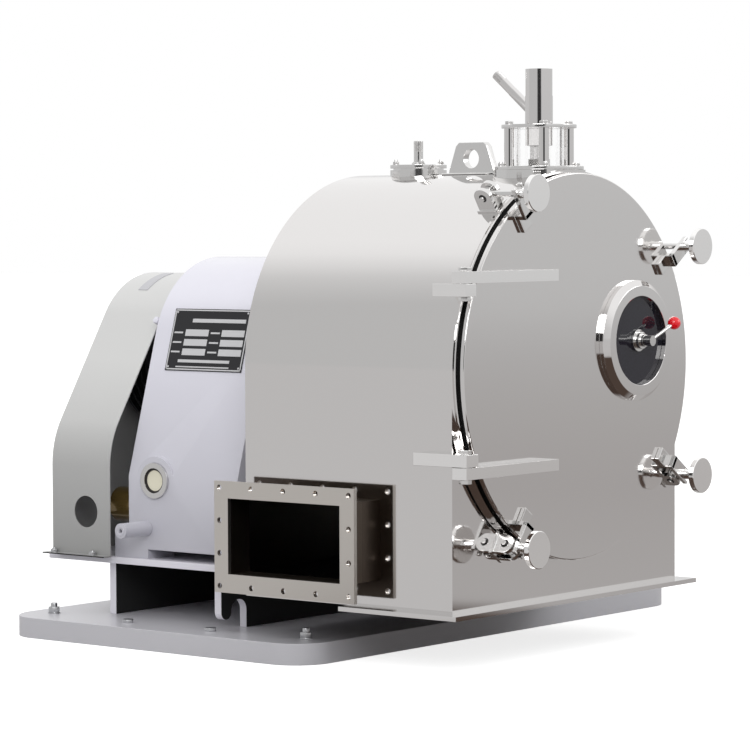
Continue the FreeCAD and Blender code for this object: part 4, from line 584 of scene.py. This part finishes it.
plug = prism("breather", 9, 15, 6, 0.8, BREATHER_PLACE, BREATHER_WAY)
finish_piece(plug, housing_enamel, "machine")


# Nameplate.
# A black printed aluminium plate on the housing's leaning side, with a bright rim, a rivet at
# each corner and bare pale fields.

SHOULDER = Vector((-330.0, 0.0, 381.0))
AXIS_UP = 652.0
HOUSING_ROUND = 240.0
PLATE_WIDE = 237.0
PLATE_TALL = 150.0
PLATE_MIDDLE_Y = -2.0
PLATE_RISE = 257.0
PLATE_THICK = 2.0
RIM = 3.0
RIM_IN = 2.0
RIM_THICK = 0.6
FIELD_THICK = 0.4
RIVET_IN = 9
RIVET_RADIUS = 2.6
RIVET_THICK = 1.6
FIELDS = [(60, 117, 165, 9), (36, 20, 160, 7), (32, 8, 165, 3)]
ROWS = (84, 60.5, 37.5)
for row_up in ROWS:
    FIELDS += [(44, row_up, 72, 16), (157, row_up, 70, 16)]
    FIELDS += [(9, row_up + 6, 27, 4), (123, row_up + 6, 28, 4)]


def housing_lean():
    """How far the housing's side leans in from upright, so as to meet its round top."""
    across = -SHOULDER.x
    drop = AXIS_UP - SHOULDER.z
    return math.pi / 2 - math.atan2(drop, across) - math.asin(HOUSING_ROUND / math.hypot(across, drop))


LEAN = housing_lean()
PLATE_UP = Vector((math.sin(LEAN), 0, math.cos(LEAN)))
PLATE_OUT = Vector((-math.cos(LEAN), 0, math.sin(LEAN)))
PLATE_CORNER = SHOULDER + PLATE_UP * PLATE_RISE + PLATE_OUT * PLATE_THICK


def on_plate(along, up, out):
    """A point of the nameplate, from its lower rear corner: forward, up and out of its face."""
    rear = PLATE_MIDDLE_Y + PLATE_WIDE / 2
    return PLATE_CORNER + PLATE_UP * up + PLATE_OUT * out + Vector((0, rear - along, 0))


def slab(name, middle, size, right=(1, 0, 0), upright=(0, 0, 1), edge=0.0):
    """A rectangular bar about its middle, with its width and height turned along two directions."""
    deselect()
    bpy.ops.mesh.primitive_cube_add(size=1)
    piece = bpy.context.object
    piece.name = name
    right = Vector(right).normalized()
    upright = Vector(upright).normalized()
    turn = Matrix((right, upright, right.cross(upright))).transposed().to_4x4()
    spread = Matrix.Diagonal((mm(size[0]), mm(size[1]), mm(size[2]), 1))
    piece.matrix_world = Matrix.Translation(Vector(middle) / 1000) @ turn @ spread
    alone(piece)
    bpy.ops.object.transform_apply(location=True, rotation=True, scale=True)
    if edge:
        bevel(piece, edge)
    return piece


def plate_block(along, up, wide, tall, thick):
    """A thin raised block on the nameplate."""
    middle = on_plate(along + wide / 2, up + tall / 2, thick / 2)
    return slab("plate_block", middle, (wide, tall, thick), (0, -1, 0), PLATE_UP)


printed_black = plain("black_printed_aluminium_plate", "#17171B", 0.35)
etched = plain("bright_etched_aluminium", "#D6D6D8", 0.35, {"Metallic": 0.5})
dress(frame["nodes"]["nameplate"], printed_black)
rim_wide = PLATE_WIDE - 2 * RIM_IN
rim_tall = PLATE_TALL - 2 * RIM_IN
marks = []
for up in (RIM_IN, PLATE_TALL - RIM_IN - RIM):
    marks.append(plate_block(RIM_IN, up, rim_wide, RIM, RIM_THICK))
for along in (RIM_IN, PLATE_WIDE - RIM_IN - RIM):
    marks.append(plate_block(along, RIM_IN, RIM, rim_tall, RIM_THICK))
marks += [plate_block(along, up, wide, tall, FIELD_THICK) for along, up, wide, tall in FIELDS]
for along in (RIVET_IN, PLATE_WIDE - RIVET_IN):
    for up in (RIVET_IN, PLATE_TALL - RIVET_IN):
        head = on_plate(along, up, 0)
        marks.append(prism("rivet", RIVET_RADIUS, RIVET_THICK, 16, 0.7, head, PLATE_OUT))
finish_piece(join("nameplate_marks", marks), etched, "machine")


# Belt guard.
# Folded sheet, sprayed light grey, and held to the tray by screws through a foot strip whose
# upright faces carry painted shade in near-black. A bare film strip is stuck on its shoulder.
# Belts and pulleys are dark behind.

GUARD_GREY = "#CDCDCC"
GUARD_ROUND = 200.0
GUARD_STRIP_TOP = 191.0
FOOT_STRIP_FROM = -0.3595
GUARD_SCREWS = [(-369, 376), (-369, 251)]
LABEL_FROM = 127.0
LABEL_TO = 98.0
LABEL_MIDDLE_Y = 312.0
LABEL_WIDE = 30.0
LABEL_STEPS = 8

# The guard's enamel carries painted shade, darker towards the bottom.
guard_enamel = sprayed_enamel("light_grey_machine_enamel", GUARD_GREY, 0.35, 0.3, 0.50)
# Upright faces with x below FOOT_STRIP_FROM, along the foot strip, carry painted shade in near-black.
paint_faces(softened("belt_guard", guard_enamel, 0.8), painted_shade,
            lambda face: face.center.x < FOOT_STRIP_FROM and abs(face.normal.z) < 0.6)
screws = copies(fastener(10, 16, 6, 3, 9), [(x, y, GUARD_STRIP_TOP) for x, y in GUARD_SCREWS])
finish_piece(join("guard_fixings", screws), zinc, "machine")
label_grey = plain("grey_film_strip", "#B9B9BD", 0.4)
label = []
for i in range(LABEL_STEPS):
    angle = math.radians(LABEL_FROM + (LABEL_TO - LABEL_FROM) * (i + 0.5) / LABEL_STEPS)
    out = Vector((math.cos(angle), 0, math.sin(angle)))
    middle = out * (GUARD_ROUND + 0.5) + Vector((0, LABEL_MIDDLE_Y, AXIS_UP))
    step = math.radians(abs(LABEL_TO - LABEL_FROM) / LABEL_STEPS) * GUARD_ROUND
    label.append(slab("label", middle, (LABEL_WIDE, step + 0.6, 1.6), (0, 1, 0), (out.z, 0, -out.x)))
finish_piece(join("guard_label", label), label_grey, "machine")
cast_enamel = sprayed_enamel("black_cast_iron_enamel", "#1E1E20", 0.45, 0.1)
for name in ("driven_pulley", "motor_pulley"):
    dress(frame["nodes"][name], cast_enamel)
rubber = plain("black_nitrile_rubber", "#070707", 0.8, {"Specular IOR Level": 0.2})
for name in ("door_gasket", "drive_belts"):
    dress(frame["nodes"][name], rubber)
oily_brass = plain("oily_cast_brass", "#6E5A30", 0.22, {"Metallic": 0.6, "Coat Weight": 0.6})
dress(frame["nodes"]["oil_pump"], oily_brass)


# Motor.
# A foot-mounted induction motor: ribbed iron frame, a pressed fan cowl with round slots in
# its end, and a bolted terminal box with a cable gland. Sprayed blue grey.

MOTOR_X = 640.0
MOTOR_UP = 250.0
MOTOR_FRONT = -370.0
MOTOR_REAR = 190.0
MOTOR_ROUND = 158.0
FIN_TALL = 11.0
FIN_THICK = 4.0
FIN_ANGLES = [a for a in range(-36, 217, 7) if not 62 < a < 118]
COWL_LONG = 120.0
COWL_SLOTS = 6
FRAME_FRONT = MOTOR_FRONT + COWL_LONG
FRAME_BACK = MOTOR_REAR - 45
BOX_TOP = 458.0
BOX_MIDDLE_Y = 5.0
BOX_LID = (150, 140, 8)
FOOT_BOLT_SIDE = 132
FOOT_BOLT_UP = 130
GLAND_UP = 425

motor_enamel = sprayed_enamel("blue_grey_machine_enamel", "#79808B", 0.4, 0.2)
softened("motor", motor_enamel, 2.0)
extras = []
for angle in FIN_ANGLES:
    way = Vector((math.cos(math.radians(angle)), 0, math.sin(math.radians(angle))))
    middle = Vector((MOTOR_X, (FRAME_FRONT + FRAME_BACK) / 2, MOTOR_UP))
    middle += way * (MOTOR_ROUND + FIN_TALL / 2 - 2)
    length = FRAME_BACK - FRAME_FRONT - 20
    extras.append(slab("fin", middle, (FIN_TALL + 4, length, FIN_THICK), way, (0, 1, 0), 0.8))
cowl = [(MOTOR_ROUND - 2, 0), (MOTOR_ROUND + 8, 0), (MOTOR_ROUND + 8, COWL_LONG - 12),
        (MOTOR_ROUND, COWL_LONG - 2), (MOTOR_ROUND - 10, COWL_LONG + 1)]
for i in range(COWL_SLOTS):
    ring = MOTOR_ROUND - 26 - 18 * i
    cowl += [(ring + 8, COWL_LONG + 7), (ring + 7, COWL_LONG + 4)]
    cowl += [(ring + 1, COWL_LONG + 4), (ring, COWL_LONG + 7)]
cowl += [(0, COWL_LONG + 7), (0, COWL_LONG - 4), (MOTOR_ROUND - 2, COWL_LONG - 4), (MOTOR_ROUND - 2, 0)]
extras.append(turned("cowl", cowl, (MOTOR_X, FRAME_FRONT, MOTOR_UP), (0, -1, 0)))
shield = [(60, 0), (MOTOR_ROUND + 4, 0), (MOTOR_ROUND + 4, 30), (MOTOR_ROUND - 8, 42), (90, 46), (70, 58),
          (40, 60), (40, 0), (60, 0)]
extras.append(turned("end_shield", shield, (MOTOR_X, FRAME_BACK - 1, MOTOR_UP), (0, 1, 0)))
lid_middle = (MOTOR_X, BOX_MIDDLE_Y, BOX_TOP + 3)
extras.append(slab("box_lid", lid_middle, BOX_LID, (1, 0, 0), (0, 1, 0), 2.0))
for x in (-62, 62):
    for y in (-57, 57):
        extras += copies(fastener(6, 10, 4), [(MOTOR_X + x, BOX_MIDDLE_Y + y, BOX_TOP + 7)])
        foot = (MOTOR_X + math.copysign(FOOT_BOLT_SIDE, x), y * 2 - 60, FOOT_BOLT_UP)
        extras += copies(fastener(12, 19, 8, 4, 12), [foot])
extras.append(prism("gland", 15, 22, 6, 1.5, (MOTOR_X + 68, BOX_MIDDLE_Y, GLAND_UP), (1, 0, 0)))
finish_piece(join("motor_fins_and_cowl", extras), motor_enamel, "machine")


# Polished casing.
# Stainless sheet, welded and buffed to a mirror, so it shows the room and the floor. The
# walls, the flange foot and the seat ring are the same; inside it is only ground.

STEEL_SHEET = "#E4E2E1"

mirror_steel = polished_steel("mirror_polished_stainless_sheet", STEEL_SHEET, 0.07)
for name in ("casing_shell", "casing_front_wall", "casing_rear_wall", "casing_outlet_flange",
             "door_seat_ring"):
    softened(name, mirror_steel, 0)
inner_steel = polished_steel("ground_stainless_sheet", "#8E8C8A", 0.32)
for name in ("casing_partition", "casing_floor", "feed_drop_pipe", "basket", "scroll", "rotor_shaft"):
    dress(frame["nodes"][name], inner_steel)


# Side duct.
# A rectangular duct of ground stainless plate. Its flange is a sawn flat bar frame, duller
# than the casing and a warm grey. The duct's walls are a dark warm grey, and the flange's back
# faces, towards the casing, carry painted shade in the same dark steel.

dark_steel_and_painted_shade = polished_steel("dark_plate_and_painted_shade", "#6E645B", 0.34)
bar_steel = polished_steel("sawn_stainless_flat_bar", "#D6D1CB", 0.34, 0.0)
dress(frame["nodes"]["duct_body"], dark_steel_and_painted_shade)
# The flange's faces towards the casing carry painted shade in the dark steel.
paint_faces(softened("duct_flange", bar_steel, 0.8), dark_steel_and_painted_shade, lambda face: face.normal.x > 0.5)


# Door and its hinges.
# A mirror-polished stainless disc on two strap hinges. The straps and the hinge bars are
# buffed flat bar, paler than the door and rounded along their edges, on turned pins.

softened("door_panel", mirror_steel, 0.8)
bright_bar = polished_steel("buffed_stainless_flat_bar", "#E6E5E4", 0.09, 0.01)
satin_bar = polished_steel("scoured_stainless_bar", "#FAF9F8", 0.10, 0.0)
for name in ("door_straps", "hinge_bars"):
    softened(name, satin_bar, 2.0, 3)
softened("hinge_pins", bright_bar, 0.8)


# Clamps.
# Slotted lugs on the door, clevises on the casing, swing studs between them and turned disc
# knobs, all polished stainless. Each stud's pin has a low domed head on a near-black ring.

CLAMP_CIRCLE = 464.0
DOOR_FACE = -894.0
LUG_FACE = DOOR_FACE - 29.0
KNOB_SEAT = DOOR_FACE - 40.0
EAR_SIDE = 19.5
LUG_FOOT = 371.0
LUG_RISE = 404.0
LUG_END = 482.0
LUG_THICK = 11.0
LUG_HALF = 15.5
LUG_BACK = LUG_FACE + LUG_THICK
LUG_RISE_END = LUG_RISE + LUG_THICK
LUG_WEB_END = CLAMP_CIRCLE - 8
LUG_ARM_FROM = CLAMP_CIRCLE - 12
SLOT_HALF = 9
CLAMPS = [("upper_left", 124.4, 62.0), ("upper_right", 34.6, 62.0), ("lower_right", -34.6, 5.0),
          ("lower_left", -124.4, 5.0)]
KNOB = [(0, 0), (7.7, 0), (7.7, -11), (10.4, -11), (11, -10.4), (11, 19), (13, 23), (39.6, 23), (41, 24.4),
        (41, 34.6), (39.6, 36), (0, 36)]
PIN_HEAD = [(0, 2.4), (3.6, 2.2), (5.6, 1.2), (5.8, 0.2), (5.8, -0.5), (0, -0.5)]
PIN_SEAT = [(0, 0.5), (9, 0.5), (9.4, 0.1), (9.4, -0.5), (0, -0.5)]


def outward(angle):
    """The direction from the rotor axis to a clamp."""
    return Vector((math.cos(math.radians(angle)), 0, math.sin(math.radians(angle))))


def lug_block(turn, low, high, front, rear, left, right):
    """A bar of a door lug, drawn at the three o'clock position and turned about the rotor axis."""
    middle = Vector(((low + high) / 2, (front + rear) / 2, (left + right) / 2))
    piece = slab("lug_bar", middle, (high - low, rear - front, right - left), (1, 0, 0), (0, 1, 0), 1.4)
    piece.data.transform(turn)
    return piece


softened("clamp_clevises", bright_bar, 1.2)
for name, _, _ in CLAMPS:
    softened("clamp_stud_" + name, bright_bar, 0.8)
lugs = []
to_axis = Matrix.Translation((0, 0, mm(AXIS_UP)))
for _, angle, _ in CLAMPS:
    turn = to_axis @ Matrix.Rotation(math.radians(-angle), 4, "Y")
    lugs.append(lug_block(turn, LUG_FOOT, LUG_RISE_END, DOOR_FACE - LUG_THICK, DOOR_FACE,
                          -LUG_HALF, LUG_HALF))
    lugs.append(lug_block(turn, LUG_RISE, LUG_RISE_END, LUG_FACE, DOOR_FACE, -LUG_HALF, LUG_HALF))
    lugs.append(lug_block(turn, LUG_RISE, LUG_WEB_END, LUG_FACE, LUG_BACK, -LUG_HALF, LUG_HALF))
    for left, right in ((-LUG_HALF, -SLOT_HALF), (SLOT_HALF, LUG_HALF)):
        lugs.append(lug_block(turn, LUG_ARM_FROM, LUG_END, LUG_FACE, LUG_BACK, left, right))
lug_set = finish_piece(join("slotted_lugs", lugs), bright_bar, "door")
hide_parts("clamp_lugs")
knobs = []
pins = []
seats = []
for _, angle, back in CLAMPS:
    centre = outward(angle) * CLAMP_CIRCLE + Vector((0, KNOB_SEAT, AXIS_UP))
    knobs.append(turned("knob", KNOB, centre, (0, -1, 0)))
    across = Vector((-outward(angle).z, 0, outward(angle).x))
    pivot = outward(angle) * CLAMP_CIRCLE + Vector((0, DOOR_FACE + back, AXIS_UP))
    for sense in (-1, 1):
        ear = pivot + across * EAR_SIDE * sense
        pins.append(turned("pin", PIN_HEAD, ear, across * sense, 32))
        seats.append(turned("seat", PIN_SEAT, ear, across * sense, 32))
knob_set = finish_piece(join("turned_knobs", knobs), satin_bar, "door")
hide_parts("clamp_knobs")
finish_piece(join("clevis_pins", pins), bright_bar, "machine")
dark_ring = plain("oiled_gap_round_a_pin", "#141312", 0.5)
finish_piece(join("clevis_pin_seats", seats), dark_ring, "machine")


# Sight port and wiper.
# A bevelled ring, mirror polished, over dark toughened glass. A turned gland in the glass
# carries the wiper's lever, which ends in a red moulded ball.

port_steel = polished_steel("mirror_polished_turned_ring", STEEL_SHEET, 0.05, 0.0)
softened("port_ring", port_steel, 0.8, 2, 25)
softened("wiper_gland", satin_steel, 0.8)
softened("wiper_lever", satin_steel, 0.4)
dark_glass = plain("dark_toughened_glass", "#2A2933", 0.03, {"Transmission Weight": 0.4, "IOR": 1.45})
dress(frame["nodes"]["port_glass"], dark_glass)
red_ball = plain("red_moulded_phenolic", "#E3061A", 0.12, {"Coat Weight": 0.6})
dress(frame["nodes"]["wiper_ball"], red_ball)


# Top fittings.
# An inspection cover with its threaded nipple, the lifting lug, and the feed stand: two discs
# on four posts round a clear tube, all polished, with low nuts and cut threads.

COVER_Y = DOOR_FACE + 453
COVER_TOP = 1105.0
FEED_Y = DOOR_FACE + 112
LOW_PLATE_TOP = 1097.0
HIGH_PLATE_TOP = 1190.0
BRANCH_LEAN = math.radians(49)
BRANCH_WAY = Vector((0, math.sin(BRANCH_LEAN), math.cos(BRANCH_LEAN)))
BRANCH_ROOT = Vector((0, FEED_Y, 1202.85))
BRANCH_THREAD_FROM = 131
NIPPLE_THREAD_FROM = (0, COVER_Y, COVER_TOP + 30)
COVER_BOLT_CIRCLE = 52
LOW_BOLT_CIRCLE = 86
HIGH_BOLT_CIRCLE = 67.2
THREAD_RADIUS = 10.6
THREAD_LONG = 24
THREAD_PITCH = 1.8


def ring_of(radius, centre_y, height):
    """Four places round a circle on top of the casing, halfway between its axes."""
    spots = []
    for i in range(4):
        angle = math.radians(45.0 + 90.0 * i)
        spots.append((radius * math.cos(angle), centre_y + radius * math.sin(angle), height))
    return spots


def thread(name, depth, place, towards):
    """A cut thread, as a sleeve of fine ridges that hides the plain pipe's end."""
    root = THREAD_RADIUS - 2 * depth
    turns = int(THREAD_LONG / THREAD_PITCH)
    outline = [(root, 0)]
    for i in range(turns):
        outline.append((THREAD_RADIUS, i * THREAD_PITCH + THREAD_PITCH * 0.15))
        outline.append((THREAD_RADIUS + depth, i * THREAD_PITCH + THREAD_PITCH * 0.5))
        outline.append((THREAD_RADIUS, i * THREAD_PITCH + THREAD_PITCH * 0.85))
    outline.append((root, turns * THREAD_PITCH))
    outline.append(outline[0])
    return turned(name, outline, place, towards, 40)


for name, width, steel in (("inspection_neck", 0, bright_bar), ("inspection_cover", 0.8, bright_bar),
                           ("lifting_lug", 2.0, bright_bar), ("feed_saddle", 0, bright_bar),
                           ("feed_lower_plate", 1.0, bright_bar), ("feed_top_plate", 1.0, bright_bar),
                           ("feed_posts", 0, port_steel), ("feed_pipe", 0, port_steel)):
    softened(name, steel, width)
clear_glass = plain("clear_glass_tube", WHITE, 0.01, {"Transmission Weight": 1.0, "IOR": 1.5})
dress(frame["nodes"]["feed_sight_tube"], clear_glass)
fixings = copies(fastener(8, 13, 6, 5, 8), ring_of(COVER_BOLT_CIRCLE, COVER_Y, COVER_TOP))
fixings += copies(fastener(8, 13, 6, 3, 8), ring_of(LOW_BOLT_CIRCLE, FEED_Y, LOW_PLATE_TOP))
fixings += copies(fastener(10, 17, 6, 0, 10), ring_of(HIGH_BOLT_CIRCLE, FEED_Y, HIGH_PLATE_TOP))
fixings.append(thread("nipple_thread", 0.6, NIPPLE_THREAD_FROM, (0, 0, 1)))
fixings.append(thread("branch_thread", 0.4, BRANCH_ROOT + BRANCH_WAY * BRANCH_THREAD_FROM, BRANCH_WAY))
finish_piece(join("top_fixings", fixings), satin_steel, "machine")
